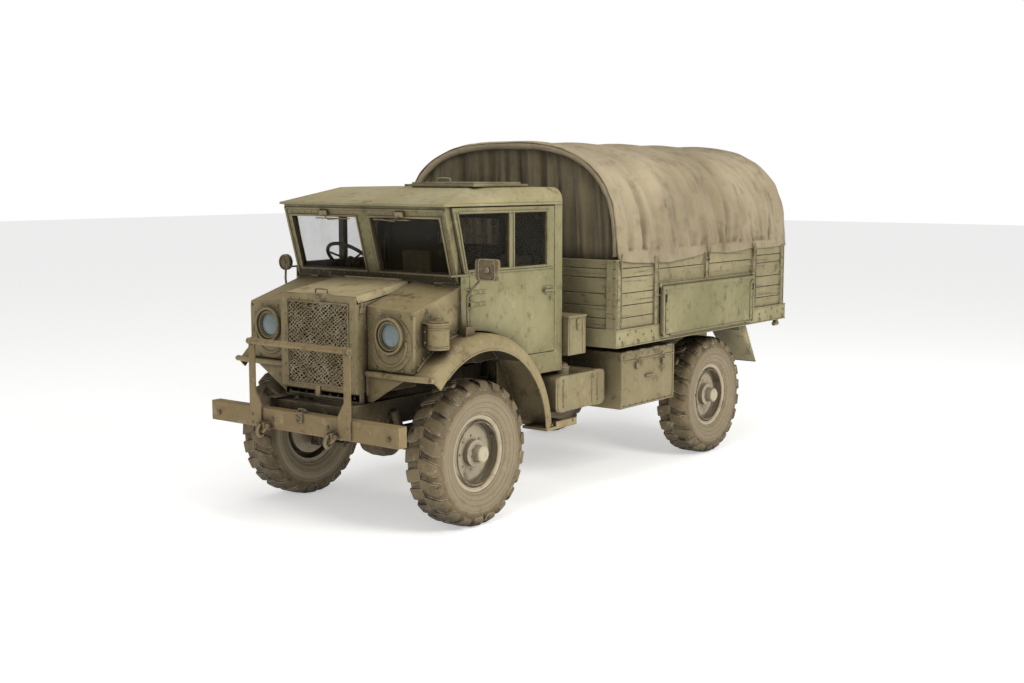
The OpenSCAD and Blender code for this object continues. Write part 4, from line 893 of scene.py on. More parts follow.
def tilt_form():
    form = cloth_grid(210, 170, 1.45, 2.2)
    length = REAR_EDGE - FRONT_EDGE
    hoops = [AXLE.y + h / 1000 for h in HOOPS]
    for v in form.verts:
        t, share = (v.co.x + 1) / 2, (v.co.y + 1) / 2
        y = FRONT_EDGE + 0.004 + (length - 0.008) * t
        left = 1 if share < 0.5 else -1
        hang = 1 - min(1.0, min(share, 1 - share) / 0.33)
        crown = 1 - hang
        gap = min(abs(y - h) for h in hoops)
        between = 1 - math.exp(-(gap / 0.13) ** 2)
        waves = 0.5 * fold(y, left * 3.1, 5.5) + 0.35 * fold(y, left * 8.7, 11)
        push = -0.006 - 0.024 * between * (0.4 + 0.6 * crown)
        push += creases(y, left, share) * (0.25 + 0.75 * hang) * (0.35 + 0.65 * between)
        push += (0.004 + 0.017 * hang ** 1.3) * (waves - 0.35) * between
        push -= 0.022 * hang * between * (0.5 + 0.5 * noise.noise(Vector((y * 2.4, left * 4, 2))))
        slant = noise.noise(Vector((y * 3.2 + share * 9 * left, share * 6, 4)))
        push += 0.020 * (0.3 - abs(slant)) * (0.3 + 0.7 * between)
        push += 0.007 * noise.noise(Vector((y * 9, share * 26, 9)))
        push += 0.012 * fold(y * 0.5 + share * 2.2 * left, left * 5.0, 4.0) * hang
        hem = 0.006 - 0.006 * noise.noise(Vector((y * 5, left, 6)))
        for first, last, sag in SPANS:
            if first <= y - AXLE.y < last:
                hem -= sag * math.sin(math.pi * (y - AXLE.y - first) / (last - first)) ** 0.7
        spot = arch_point(share, foot=hem)
        over = max(0.0, 1 - (spot.z - FOOT.z + 0.03) / 0.10)
        if over:
            push = max(push, -0.006) * (1 - over) + over * (0.008 + 0.006 * waves)
        sideways = 0.010 * hang * noise.noise(Vector((y * 6, share * 5, 12)))
        v.co = spot + arch_out(share) * push + Vector((0, y + sideways, 0))
        v.co.z = min(v.co.z, TOP.z - 0.001)
        v.co.y = min(max(v.co.y, FRONT_EDGE + 0.002), REAR_EDGE - 0.001)
    return form


tilt = piece("canvas_tilt", tilt_form(), CANVAS, sharp=80)
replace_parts(tilt, "canopy")
finished(tilt, ("SOLIDIFY", {"thickness": 0.003, "offset": -1}))
print("tilt spans", [round(c, 3) for c in tilt.dimensions])

# %% [markdown]
# ## Rolled edges of the canvas
# The front edge of the tilt is turned back over a rope into a thick soft roll,
# and the rear curtain is rolled up under the last hoop and held by straps. Both
# are rings of points carried round the arch and bridged one to the next.

# %% The edge roll
def swept_roll(y, start, finish, inset, thick, deep, seed, steps=150, sides=18, lump=0.08):
    form = bmesh.new()
    last = None
    ends = []
    for i in range(steps + 1):
        share = start + (finish - start) * i / steps
        centre = arch_point(share) - arch_out(share) * inset
        out = arch_out(share)
        loop = circle(form, sides, 1.0)
        for v in loop:
            a = math.atan2(v.co.y, v.co.x)
            swell = 1 + lump * noise.noise(Vector((share * 60, math.cos(a) + seed, math.sin(a))))
            swell -= lump * 1.2 * max(0.0, fold(share * 4, seed, 9.0))
            v.co = centre + out * math.cos(a) * thick * swell + Vector(
                (0, y + math.sin(a) * deep * swell, 0))
        edges = edges_of(loop)
        if last:
            bmesh.ops.bridge_loops(form, edges=last + edges)
        ends = ends or edges
        last = edges
    for e in (ends, last):
        bmesh.ops.holes_fill(form, edges=e, sides=0)
    cloth = form.loops.layers.uv.new("cloth")
    for f in form.faces:
        for loop in f.loops:
            loop[cloth].uv = (loop.vert.co.x, loop.vert.co.z)
    return form


REAR_ROLL = REAR_EDGE - 0.075
piece("front_edge_roll", swept_roll(FRONT_EDGE + 0.035, 0.012, 0.988, 0.036, 0.034, 0.033, 1.0),
      CANVAS, sharp=80)
piece("rear_curtain_roll", swept_roll(REAR_ROLL, 0.27, 0.73, 0.100, 0.062, 0.055, 4.0, lump=0.14),
      CANVAS, sharp=80)
straps = bmesh.new()
for share in (0.31, 0.42, 0.5, 0.58, 0.69):
    middle = arch_point(share) - arch_out(share) * 0.100 + Vector((0, REAR_ROLL, 0))
    ring(straps, middle, arch_out(share).cross(Vector((0, 1, 0))), 64, 14, 28, 8)
piece("curtain_straps", straps, HARDWARE)
print("rolled edges made")

# %% [markdown]
# ## The front curtain
# The front of the load body is shut by a curtain that hangs in deep folds. It is
# a flat grid fitted under the arch, with folds that are slack in the middle. Its
# cloth is a darker copy of the tilt's canvas, as painted shade.

# %% The front curtain
def curtain_form():
    form = cloth_grid(170, 70, 1.3, 0.5)
    wall = AXLE.y + 1.548
    for v in form.verts:
        across, up = v.co.x, (v.co.y + 1) / 2
        x = across * (TOP.x - 0.045)
        level = min(1.0, abs(x) / (TOP.x - 0.03))
        ceiling = FOOT.z + (TOP.z - FOOT.z - 0.045) * (1 - level ** POWER) ** (1 / POWER)
        z = FOOT.z - 0.004 + (ceiling - FOOT.z + 0.004) * up
        waves = 0.6 * fold(x, 2.0, 5.0) + 0.4 * fold(x + 0.05 * up, 6.0, 11)
        slack = 0.35 + 0.65 * math.sin(math.pi * min(1.0, 0.15 + up * 0.8))
        y = wall + 0.020 - 0.050 * waves * slack + 0.008 * noise.noise(Vector((x * 4, z * 5, 3)))
        v.co = (x + 0.012 * waves * slack, min(max(y, wall - 0.034), wall + 0.05), z)
    return form


curtain = piece("front_curtain", curtain_form(), CURTAIN_IN_SHADE, sharp=80)
finished(curtain, ("SOLIDIFY", {"thickness": 0.002, "offset": 1}))
print("curtain faces", len(curtain.data.polygons))

# %% [markdown]
# ## The radiator grille
# Expanded metal is a sheet slit and pulled into a net of diamonds, with thick
# lumpy strands. A turned grid gives the diamonds, and `wireframe` the strands.

# %% The net and its frame
def net_form():
    low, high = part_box("grille_mesh")
    form = bmesh.new()
    bmesh.ops.create_grid(form, x_segments=46, y_segments=46, size=0.62)
    bmesh.ops.rotate(form, verts=form.verts, matrix=Matrix.Rotation(math.radians(45), 3, "Z"))
    bmesh.ops.scale(form, verts=form.verts, vec=(1, 0.72, 1))
    bmesh.ops.rotate(form, verts=form.verts, matrix=Matrix.Rotation(math.radians(90), 3, "X"))
    middle = (low + high) / 2
    bmesh.ops.translate(form, verts=form.verts, vec=middle)
    for spot, way in ((low, (-1, 0, 0)), (high, (1, 0, 0)), (low, (0, 0, -1)), (high, (0, 0, 1))):
        bmesh.ops.bisect_plane(form, geom=all_of(form),
                               plane_co=spot, plane_no=way, clear_outer=True)
    for v in form.verts:
        v.co.y += 0.010 * noise.noise(v.co * 45)
        v.co.x += 0.016 * noise.noise(v.co * 27 + Vector((3, 0, 0)))
        v.co.z += 0.014 * noise.noise(v.co * 30 + Vector((0, 7, 0)))
    bmesh.ops.wireframe(form, faces=form.faces[:], thickness=0.0122, use_replace=True,
                        use_boundary=True, use_even_offset=False)
    for v in form.verts:
        v.co += Vector((0.002, 0.004, 0.002)) * noise.noise(v.co * 90)
        v.co.y = min(max(v.co.y, low.y - 0.003), high.y + 0.01)
    return form


net = piece("grille_net", net_form(), MESH_STEEL, sharp=60, weld=False)
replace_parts(net, "grille_mesh")
trim = bmesh.new()
for x in (-308, 298):
    bar(trim, (x, -642, 480), (x + 10, -634, 1074), 2)
for z in (478, 1066):
    bar(trim, (-308, -642, z), (308, -634, z + 10), 2)
bar(trim, (-24, -646, 400), (24, -636, 478), 3)
rivets(trim, [(x, -636, z) for x in range(-270, 271, 90) for z in (1090, 466)], (0, -1, 0), 6)
rivets(trim, [(x, -636, z) for z in range(520, 1060, 90) for x in (-330, 330)], (0, -1, 0), 6)
ring(trim, at(0, -642, 1095), (0, -1, 0), 20, 5, 24, 8)
rod(trim, at(0, -640, 1095), at(0, -650, 1095), 14, 16)
piece("grille_trim", trim, NOSE_PAINT)
print("net faces", len(net.data.polygons))

# %% [markdown]
# ## Lamps, canister and mirrors
# A headlamp is a dished glass in a rolled ring. Rings are a small circle spun
# round the lamp's middle, and the glass is a flattened half ball.

# %% Lamps
LAMP = (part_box("lamps")[1].x * 1000 - 128, -530, 865)
glasses = bmesh.new()
bmesh.ops.create_uvsphere(glasses, u_segments=48, v_segments=24, radius=0.088)
bmesh.ops.bisect_plane(glasses, geom=all_of(glasses),
                       plane_co=(0, 0, 0), plane_no=(0, 0, -1), clear_outer=True)
bmesh.ops.scale(glasses, verts=glasses.verts, vec=(1, 1, 0.34))
bmesh.ops.holes_fill(glasses, edges=[e for e in glasses.edges if len(e.link_faces) == 1], sides=0)
bmesh.ops.transform(glasses, verts=glasses.verts,
                    matrix=Matrix.Translation(at(LAMP[0], -520, LAMP[2])) @ turned((0, -1, 0)))
mirrored(glasses)
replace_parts(piece("lamp_domes", glasses, LAMP_GLASS), "lamp_lenses")

bezels = bmesh.new()
for y, radius, thick, sides in ((-559, 119, 9, 12), (-546, 98, 8, 12), (-533, 88, 4, 8)):
    ring(bezels, at(LAMP[0], y, LAMP[2]), (0, -1, 0), radius, thick, 56, sides)
ring(bezels, at(LAMP[0] - 6, -538, LAMP[2] - 58), (0, -1, 0), 150, 11, 40, 10, 200, 170, 0.6)
bolts(bezels, [(LAMP[0], -560, LAMP[2] + dz) for dz in (126, -126)], (0, -1, 0), 6)
mirrored(bezels)
piece("lamp_rings", bezels, NOSE_PAINT)

extras = bmesh.new()
for z in (800, 925):
    ring(extras, at(898, -375, z), (0, 0, 1), 80, 4, 40, 8)
rod(extras, at(898, -375, 966), at(898, -375, 972), 70, 40)
tube(extras, [at(870, -375, 970), at(872, -375, 990), at(898, -375, 996), at(924, -375, 990),
              at(926, -375, 970)], 4)
bolts(extras, [(852, -456, z) for z in (830, 905)], (0, -1, 0), 6)
piece("canister_bands", extras, NOSE_PAINT)

heads = bmesh.new()
bar(heads, (1056, -100, 1250), (1186, -92, 1384), 3)
outline = [(1060, 1262), (1060, 1372), (1074, 1388), (1168, 1388), (1182, 1372), (1182, 1262),
           (1168, 1246), (1074, 1246), (1060, 1262), (1060, 1290)]
tube(heads, [at(x, -122 + (x - 1120) * 0.2, z) for x, z in outline], 6, 8)
rod(heads, at(1120, -120, 1317), at(1118, -134, 1317), 24, 20, 15)
ring(heads, at(-985, -24, 1285), (0, -1, 0), 56, 6, 40, 8)
rod(heads, at(-985, -20, 1285), at(-985, -34, 1285), 20, 20, 10)
piece("mirror_rims", heads, HARDWARE)
print("lamps and mirrors dressed")

# %% [markdown]
# ## Windscreen, roof edge and doors
# The windscreen is two panes, each in its own riveted frame. A rolled lip runs
# round the roof. Bars are blocks with rounded edges, laid in the leaning or
# splayed direction of the panel that they sit on.

# %% Windscreen and roof lip
screen = bmesh.new()
PANE = (((54, -9, 68), (68, 1, 496)), ((735, -9, 68), (751, 1, 496)),
        ((54, -9, 62), (751, 1, 76)), ((54, -9, 487), (751, 1, 503)))
OUTER = (((0, -7, 6), (803, 1, 22)), ((0, -7, 540), (803, 1, 556)), ((783, -7, 6), (803, 1, 556)))
bars(screen, PANE + OUTER, 2.5, on_screen)
rivets(screen, [(x, -2, z) for x in range(90, 740, 72) for z in (48, 520)], (0, -1, 0.2),
       place=on_screen)
rivets(screen, [(x, -2, z) for z in range(80, 540, 60) for x in (768, 38)], (0, -1, 0.2),
       place=on_screen)
for x in (180, 620):
    rod(screen, on_screen(x - 34, -12, 12), on_screen(x + 34, -12, 12), 9, 12)
bar(screen, (340, -26, 500), (420, 1, 540), 5, on_screen)
tube(screen, [on_screen(380, -28, 512), on_screen(330, -30, 470), on_screen(190, -22, 482)], 4)
bar(screen, (120, -22, 474), (470, -14, 482), 2, on_screen)
mirrored(screen)
piece("windscreen_fittings", screen, NOSE_PAINT)

lip = bmesh.new()
lip_path = [at(0, -208, 1751), at(795, -208, 1751), at(814, -200, 1751), at(822, -184, 1751)]
lip_path += [at(825 + (y + 150) * 76 / 1223, y, 1751) for y in (0, 250, 500, 750, 1060)]
tube(lip, lip_path, 9, 12)
mirrored(lip)
piece("roof_lip", lip, BODY_PAINT)

hatch = bmesh.new()
rivets(hatch, [(x, y, 1895) for x in range(60, 680, 62) for y in (290, 900)], (0, 0, 1))
rivets(hatch, [(x, y, 1895) for y in range(330, 880, 62) for x in (40, 670)], (0, 0, 1))
tube(hatch, [at(290, 330, 1908), at(292, 330, 1934), at(355, 330, 1940), at(418, 330, 1934),
             at(420, 330, 1908)], 6)
piece("hatch_rivets", hatch, BODY_PAINT, "roof_hatch")


def door_fittings():
    form = bmesh.new()
    bar(form, (0, 62, 1262), (7, 958, 1276), 2.5, on_side)
    for y0, y1, z0, z1 in ((30, 900, 1280, 1293), (-70, 900, 1693, 1706), (889, 903, 1284, 1702),
                           (460, 474, 1290, 1696), (506, 520, 1290, 1696)):
        bar(form, (0, y0, z0), (6, y1, z1), 2, on_side)
    lean = [on_side(3, 12, 1290), on_side(3, -84, 1696)]
    tube(form, lean, 7, 8)
    bar(form, (0, 872, 1068), (5, 952, 1134), 2, on_side)
    rod(form, on_side(-2, 936, 1040), on_side(8, 936, 1040), 11, 16)
    bars(form, [((0, 60, z), (5, 210, z + 26)) for z in (1036, 1122)], 2, on_side)
    bolts(form, [(4, y, z) for z in (1049, 1135) for y in (90, 130, 180)], size=6, place=on_side)
    rivets(form, [(0, 958, z) for z in range(700, 1240, 108)], place=on_side)
    bar(form, (-48, 80, 1180), (-41, 900, 1190), 2, on_side)
    rod(form, on_side(-41, 640, 1110), on_side(-58, 640, 1110), 9)
    tube(form, [on_side(-56, 640, 1110), on_side(-60, 700, 1100), on_side(-74, 706, 1098)], 6)
    return form


for side in SIDES:
    sided("door_fittings_", "door_", door_fittings(), side)

cab = bmesh.new()
rivets(cab, [(0, 1010, z) for z in range(520, 1240, 90)], place=on_side)
rivets(cab, [(0, 20, z) for z in range(700, 1240, 90)], place=on_side)
bar(cab, (0, -150, 1254), (6, 34, 1268), 2, on_side)
mirrored(cab)
rivets(cab, [(x, 1074, z) for x in range(-840, 841, 120) for z in (1000, 1700)], (0, 1, 0), 6)
bars(cab, [((x - 30, 1072, 560), (x + 30, 1082, 1380)) for x in (-560, 0, 560)], 4)
border(cab, (-322, 1408), (322, 1632), 12, (1070, 1082), 2)
piece("cab_rivets", cab, CAB_PAINT)

mesh_guard = bmesh.new()
for x in range(-280, 281, 56):
    rod(mesh_guard, at(x, 1064, 1412), at(x, 1064, 1628), 4, 8)
for z in (1480, 1560):
    rod(mesh_guard, at(-316, 1064, z), at(316, 1064, z), 4, 8)
piece("rear_window_bars", mesh_guard, HARDWARE)
print("cab dressed")

# %% [markdown]
# ## Front sheet metal
# The wing boxes bolt along the tops of the wings, and the cowl has latches for
# the hood. The wings are round, so their bolts are placed from the arch's circle.

# %% Bolts along the wings, and latches
ARCH_Y, ARCH_Z = 60, 35
wing = bmesh.new()


def wing_top(y, radius=815):
    """The height of the wing's round top at y."""
    return ARCH_Z + math.sqrt(radius ** 2 - (y - ARCH_Y) ** 2)


def on_arch(x, radius, degrees):
    """A point on the wheel arch, at an angle up from the rear."""
    a = math.radians(degrees)
    return at(x, ARCH_Y + radius * math.cos(a), ARCH_Z + radius * math.sin(a))


bolts(wing, [(811, y, wing_top(y) + 26) for y in range(-480, -50, 54)])
tube(wing, [at(816, y, wing_top(y, 816) + 2) for y in range(-500, -30, 30)], 8, 8)
FRONT_BOLTS = ((402, 650), (402, 800), (402, 990), (796, 640), (796, 760), (796, 1000),
               (520, 1010), (690, 1008), (470, 640), (720, 632))
bolts(wing, [(x, -531, z) for x, z in FRONT_BOLTS], (0, -1, 0))
rivets(wing, [(809, y, 985 + (y + 530) * 0.2) for y in range(-500, -60, 110)], size=6)
bar(wing, (800, -532, 650), (816, -500, 1012), 5)
bolts(wing, [(375, -600, z) for z in (560, 700, 840, 980)])
bar(wing, (374, -600, 1010), (384, -540, 1050), 3)
tube(wing, [at(386, -590, 1040), at(394, -590, 1070), at(386, -590, 1096)], 5)
for angle in range(12, 130, 9):
    rivet(wing, on_arch(985, 710, angle), (1, 0, 0), 5)
tube(wing, [on_arch(988, 702, angle) for angle in range(4, 134, 5)], 7, 10)
tube(wing, [at(390, -552, 590), at(560, -554, 588), at(800, -554, 586), at(960, -540, 588)], 21, 16)
mirrored(wing)
piece("wing_bolts", wing, NOSE_PAINT)
print("wings bolted")

# %% [markdown]
# ## Hood trim
# The hood falls a little to the front, and its rivets and handle follow it. They
# ride on the hood, so that they lift with it.

# %% Hood trim
HOOD_REAR, HOOD_TOP, HOOD_FALL = -66, 1207, 76 / 575
trim = bmesh.new()
rivets(trim, [(x, y, HOOD_TOP - (HOOD_REAR - y) * HOOD_FALL + 1) for x in (-340, 340)
              for y in range(-90, -600, -80)], (0, 0, 1))
handle_z = HOOD_TOP - 520 * HOOD_FALL
tube(trim, [at(-60, -590, handle_z - 6), at(-58, -592, handle_z + 22), at(0, -594, handle_z + 26),
            at(58, -592, handle_z + 22), at(60, -590, handle_z - 6)], 6)
piece("hood_rivets", trim, NOSE_PAINT, "hood")
print("hood handle at", round(handle_z), "mm")

# %% [markdown]
# ## Bumper, guard and shackles
# The bumper carries the brush guard and two heavy shackles on thick pins. Each
# shackle is a spun ring, and the pins and bolts are short cones and six-sided rods.

# %% Bumper, guard and shackles
GUARD_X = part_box("brush_guard")[1].x * 1000 - 34
iron = bmesh.new()
for side in (-1, 1):
    x = side * 340
    rod(iron, at(x - 58, -862, 185), at(x - 38, -862, 185), 19, 6)
    rod(iron, at(x + 38, -862, 185), at(x + 58, -862, 185), 17, 14, 13)
    ring(iron, at(x, -884, 150), (1, 0.15, 0), 38, 13, 40, 12)
    ring(iron, at(x + 12, -868, 176), (0.3, -1, 0.5), 26, 10, 32, 10)
    bolts(iron, [(x + dx, -823, z) for z in (236, 168) for dx in (-62, 62)], (0, -1, 0), 10)
    gx = side * GUARD_X
    bolts(iron, [(gx, -832, z) for z in (190, 250)], (0, -1, 0), 9)
    ring(iron, at(gx, -830, 780), (1, 0, 0), 25, 6, 28, 8)
    rod(iron, at(gx - side * 2, -830, 780), at(gx + side * 40, -830, 780), 15, 6)
    bolt(iron, at(gx, -856, 780), (0, -1, 0), 9)
    rod(iron, at(side * 850, -823, 220), at(side * 850, -840, 220), 15, 20, 12)
for x, z in ((-26, 292), (14, 300), (-4, 268), (22, 262), (-18, 244)):
    rod(iron, at(x, -822, z), at(x + 4, -842, z + 3), 13, 8, 10)
bar(iron, (-30, -834, 236), (34, -822, 312), 4)
tube(iron, [at(-40, -780, 306), at(-34, -800, 326), at(0, -806, 332), at(34, -800, 326),
            at(40, -780, 306)], 7)
piece("bumper_irons", iron, HARDWARE)

apron = bmesh.new()
bar(apron, (-372, -600, 384), (372, -566, 440), 6)
bar(apron, (-300, -640, 400), (300, -610, 414), 4)
bolts(apron, [(x, -601, 412) for x in range(-320, 321, 80)], (0, -1, 0))
rod(apron, at(-240, -620, 350), at(-200, -632, 372), 26, 12, 20)
rod(apron, at(-150, -610, 360), at(-130, -622, 372), 16, 8, 12)
tube(apron, [at(-330, -560, 330), at(-250, -600, 352), at(-120, -612, 350), at(60, -612, 340),
             at(250, -600, 330), at(330, -560, 320)], 13, 12)
piece("front_apron", apron, CHASSIS_PAINT)
print("bumper and apron dressed")

# %% [markdown]
# ## Seats
# Each seat has a stuffed cushion and a stuffed back. A block is rounded and
# filled out by a cloth simulation with pressure inside it, and then its upright
# channels are pressed in.

# %% Stuffed cushions
def cushion(name, low, high, channels, upright, swell=0.014):
    form = bmesh.new()
    bar(form, low, high, 34, at, 5)
    obj = as_object(form, name)
    finished(obj, ("REMESH", {"mode": "VOXEL", "voxel_size": 0.011}))
    start = [v.co.copy() for v in obj.data.vertices]
    cloth = obj.modifiers.new("cloth", "CLOTH")
    cloth.settings.use_pressure = True
    cloth.settings.uniform_pressure_force = 4
    cloth.settings.effector_weights.gravity = 0
    cloth.point_cache.frame_start, cloth.point_cache.frame_end = 1, 20
    for step in range(1, 21):
        scene.frame_set(step)
    graph = bpy.context.evaluated_depsgraph_get()
    blown = bpy.data.meshes.new_from_object(obj.evaluated_get(graph))
    obj.modifiers.clear()
    obj.data = blown
    scene.frame_set(1)
    a, b = at(*low), at(*high)
    for v, old in zip(obj.data.vertices, start):
        move = v.co - old
        if move.length > swell:
            v.co = old + move.normalized() * swell
        across = (v.co.x - a.x) / (b.x - a.x)
        up = (v.co.z - a.z) / (b.z - a.z) if upright else (v.co.y - a.y) / (b.y - a.y)
        groove = abs((across * channels) % 1 - 0.5) * 2
        inside = max(0.0, 1 - (2 * abs(up - 0.5)) ** 6)
        press = 0.013 * max(0.0, groove - 0.72) / 0.28 * inside
        if upright and v.co.y < (a.y + b.y) / 2:
            v.co.y += press
        if not upright and v.co.z > (a.z + b.z) / 2:
            v.co.z -= press
    return obj


def seat_piece(obj):
    for f in obj.data.polygons:
        f.use_smooth = True
    cloth = obj.data.uv_layers.new(name="cloth")
    for loop in obj.data.loops:
        spot = obj.data.vertices[loop.vertex_index].co
        cloth.data[loop.index].uv = (spot.x * 2, (spot.z + spot.y) * 2)
    obj.data.materials.clear()
    obj.data.materials.append(SEAT_CLOTH)
    finished(obj, ("SMOOTH", {"factor": 0.5, "iterations": 3}),
             ("SUBSURF", {"levels": 1, "render_levels": 1}))
    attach(obj, "chassis")
    return obj


seat_bits = []
for side, x0, x1 in (("left", 352, 678), ("right", -678, -352)):
    for bit, low, high, channels, upright in (
            ("seat_cushion_", (x0, 572, 872), (x1, 950, 962), 5, False),
            ("seat_back_", (x0, 976, 990), (x1, 1030, 1366), 6, True)):
        seat_bits.append(seat_piece(cushion(bit + side, low, high, channels, upright)))
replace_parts(seat_bits[0], "seats")
print("seat faces", sum(len(o.data.polygons) for o in seat_bits))

# %% [markdown]
# ## Load body ironwork
# The planks are bolted to steel posts, the sill is a pressed channel, and the
# drop sides and tailgate hang on strap hinges. Coach bolts go through the middle
# of every plank, so their heights follow the uneven widths of the planks.

# %% Posts, sill and rope hooks
DECK, BOARD_TOP = 758, 1305
CUTS = (0, 0.159, 0.336, 0.512, 0.739, 0.87, 1)
PLANK_MIDS = [DECK + (BOARD_TOP - DECK) * (a + b) / 2 for a, b in zip(CUTS, CUTS[1:])]
body = bmesh.new()
for y, heights in ((1512, PLANK_MIDS), (2059, PLANK_MIDS), (2882, (1141, 1257)),
                   (3746, PLANK_MIDS), (4300, PLANK_MIDS)):
    bolts(body, [(1135, y + dy, z) for z in heights for dy in (-14, 14)], size=7)
    for dy in (-30, 26):
        bar(body, (1133, y + dy, heights[0] - 40), (1141, y + dy + 4, 1303), 1)
bar(body, (1133, 1474, 614), (1140, 4381, 624), 2)
bar(body, (1108, 2094, 1052), (1134, 3712, 1084), 2)
for share in CUTS[1:-1]:
    z = DECK + (BOARD_TOP - DECK) * share
    for y0, y1 in ((1490, 2090), (3720, 4330)):
        bar(body, (1092, y0, z - 9), (1101, y1, z + 9), 1)
bar(body, (1092, 2090, 1196), (1101, 3720, 1214), 1)
for y0, y1 in ((1474, 2104), (3702, 4381)):
    bar(body, (1133, y0, 748), (1140, y1, 758), 2)
    bolts(body, [(1135, y, 690 + 18 * (y % 3)) for y in range(y0 + 50, y1, 118)])
for y in range(1560, 4330, 230):
    if not 2080 < y < 3720:
        tube(body, [at(1134, y, 660), at(1150, y, 652), at(1154, y, 640), at(1146, y, 630)], 5, 8)
bars(body, [((1100, y - 34, 1298), (1142, y + 34, 1306)) for y in (1500, 2059, 3746, 4300)])
for y in (2104, 3700):
    bar(body, (1134, y - 5, 1052), (1156, y + 5, 1092), 2)
    rod(body, at(1146, y - 14, 1072), at(1146, y + 14, 1072), 8)
mirrored(body)
piece("body_ironwork", body, BODY_PAINT)
print("posts bolted at plank heights", [round(z) for z in PLANK_MIDS])

# %% [markdown]
# ## Ropes of the tilt
# Short ropes pull the hem of the tilt down to hooks on the planks. Each is one
# round bar bent through a few points, as a taut rope has hardly any sag.

# %% Ropes of the tilt
ropes = bmesh.new()
for y in (1520, 2900, 3720):
    tube(ropes, [at(1143, y - 26, 1352), at(1146, y - 10, 1306), at(1143, y, 1252),
                 at(1146, y + 12, 1304), at(1143, y + 30, 1350)], 4, 8)
    tube(ropes, [at(1136, y, 1262), at(1152, y, 1254), at(1154, y, 1240), at(1142, y, 1236)], 5, 8)
mirrored(ropes)
piece("tilt_ropes", ropes, CANVAS)
print("three ropes a side")

# %% [markdown]
# ## Drop sides
# A drop side is a steel panel in a frame of flat bars, on strap hinges, with a
# latch at each end. Its irons ride on the panel and swing down with it.

# %% Drop sides
def flap_irons():
    form = bmesh.new()
    for y0, y1, top in ((2117, 2143, 1040), (3662, 3688, 1040), (2236, 3570, 664)):
        bar(form, (1165, y0, 652), (1173, y1, top), 2)
    for y in (2175, 3630):
        bar(form, (1165, y - 20, 672), (1175, y + 20, 1000), 3)
        bolts(form, [(1174, y, z) for z in (700, 780, 870, 960)])
    for y in (2155, 3650):
        tube(form, [at(1172, y, 1006), at(1186, y, 1002), at(1188, y, 940), at(1176, y, 928)],
             7, 10)
        bar(form, (1165, y - 24, 990), (1178, y + 24, 1022), 3)
    return form


for side in SIDES:
    sided("dropside_irons_", "dropside_", flap_irons(), side)
print("drop sides dressed")

# %% [markdown]
# ## The tailgate
# The tailgate is planks on upright straps, with a latch at each top corner and
# two grab handles. These pieces ride on the tailgate.

# %% Tailgate latches and straps
gate = bmesh.new()
bolts(gate, [(x, 4381, z) for x in (-1081, -700, 700, 1081) for z in PLANK_MIDS], (0, 1, 0))
for x in (-1, 1):
    bar(gate, (x * 1060 - 40, 4379, 1256), (x * 1060 + 40, 4389, 1280), 3)
    tube(gate, [at(x * 1040, 4386, 1268), at(x * 1040, 4398, 1262), at(x * 1040, 4399, 1196),
                at(x * 1040, 4390, 1186)], 6, 10)
for x in (-340, 340):
    tube(gate, [at(x - 60, 4384, 1214), at(x - 56, 4397, 1214), at(x + 56, 4397, 1214),
                at(x + 60, 4384, 1214)], 6, 10)
bars(gate, [((x - 22, 4354, 770), (x + 22, 4364, 1300)) for x in (-900, -320, 320, 900)])
piece("tailgate_irons", gate, BODY_PAINT, "tailgate")
print("load body dressed")

# %% [markdown]
# ## Rear lamps and plate
# A rear lamp is a short drum with a domed red lens, which is a flattened ball.
# The number plate is left blank.

# %% Rear lamps and plate
RED_GLASS = glass_finish("red_lamp_glass", (112, 22, 16), 0.96, 0.15)
REAR_LAMPS = ((840, 40), (1000, 30))
lens = bmesh.new()
for x, r in REAR_LAMPS:
    ball(lens, at(x, 4389, 690), r, (1, 0.30, 1), up=12)
mirrored(lens)
piece("rear_lamp_lenses", lens, RED_GLASS)
back = bmesh.new()
for x, r in REAR_LAMPS:
    rod(back, at(x, 4378, 690), at(x, 4388, 690), r + 8, 32)
    ring(back, at(x, 4390, 690), (0, 1, 0), r + 3, 5, 32, 8)
mirrored(back)
bar(back, (-560, 4379, 634), (-290, 4384, 744), 2)
bolts(back, [(x, 4384, 689) for x in (-545, -305)], (0, 1, 0), 6)
rivets(back, [(x, 4381, 742 if abs(x) < 1060 else 730) for x in range(-1080, 1081, 135)],
       (0, 1, 0), 6)
bar(back, (-1133, 4379, 614), (1133, 4386, 624), 2)
piece("rear_lamp_bodies", back, BODY_PAINT)
print("rear lamps made")

# %% [markdown]
# ## Boxes, tanks and guards
# The stowage boxes are pressed steel with hinged lids and hasps, each tank has a
# round filler cap, and a bar stiffens each rear guard. All are blocks, rods and rings.

# %% Boxes, tanks, steps and guards
stow = bmesh.new()
bar(stow, (1048, 1680, 468), (1056, 2490, 482), 2)
for y in (1680, 2470):
    bar(stow, (1048, y, 97), (1055, y + 20, 553), 2)
for z in (97, 539):
    bar(stow, (1048, 1690, z), (1055, 2480, z + 14), 2)
for y in (1780, 1980, 2190, 2400):
    bar(stow, (1048, y - 34, 540), (1060, y + 34, 550), 2)
    rod(stow, at(1056, y - 40, 555), at(1056, y + 40, 555), 8, 12)
for y in (1900, 2300):
    ring(stow, at(1066, y, 462), (0, 1, 0), 15, 4, 20, 8)
    bar(stow, (1058, y - 22, 410), (1074, y + 22, 454), 5)
rivets(stow, [(1055, y, z) for y in range(1720, 2480, 90) for z in (118, 520)])
bars(stow, [((600, y - 16, 92), (1040, y + 16, 98)) for y in (1700, 1850, 2000, 2160, 2320, 2470)])
bar(stow, (946, 1100, 860), (953, 1312, 872), 2)
for y in (1120, 1290):
    bar(stow, (948, y - 14, 600), (954, y + 14, 860), 2)
for y in (1025, 1487):
    bolts(stow, [(953, y, z) for z in (200, 395)], size=9)
    bar(stow, (948, y - 10, 226), (961, y + 10, 366), 3)
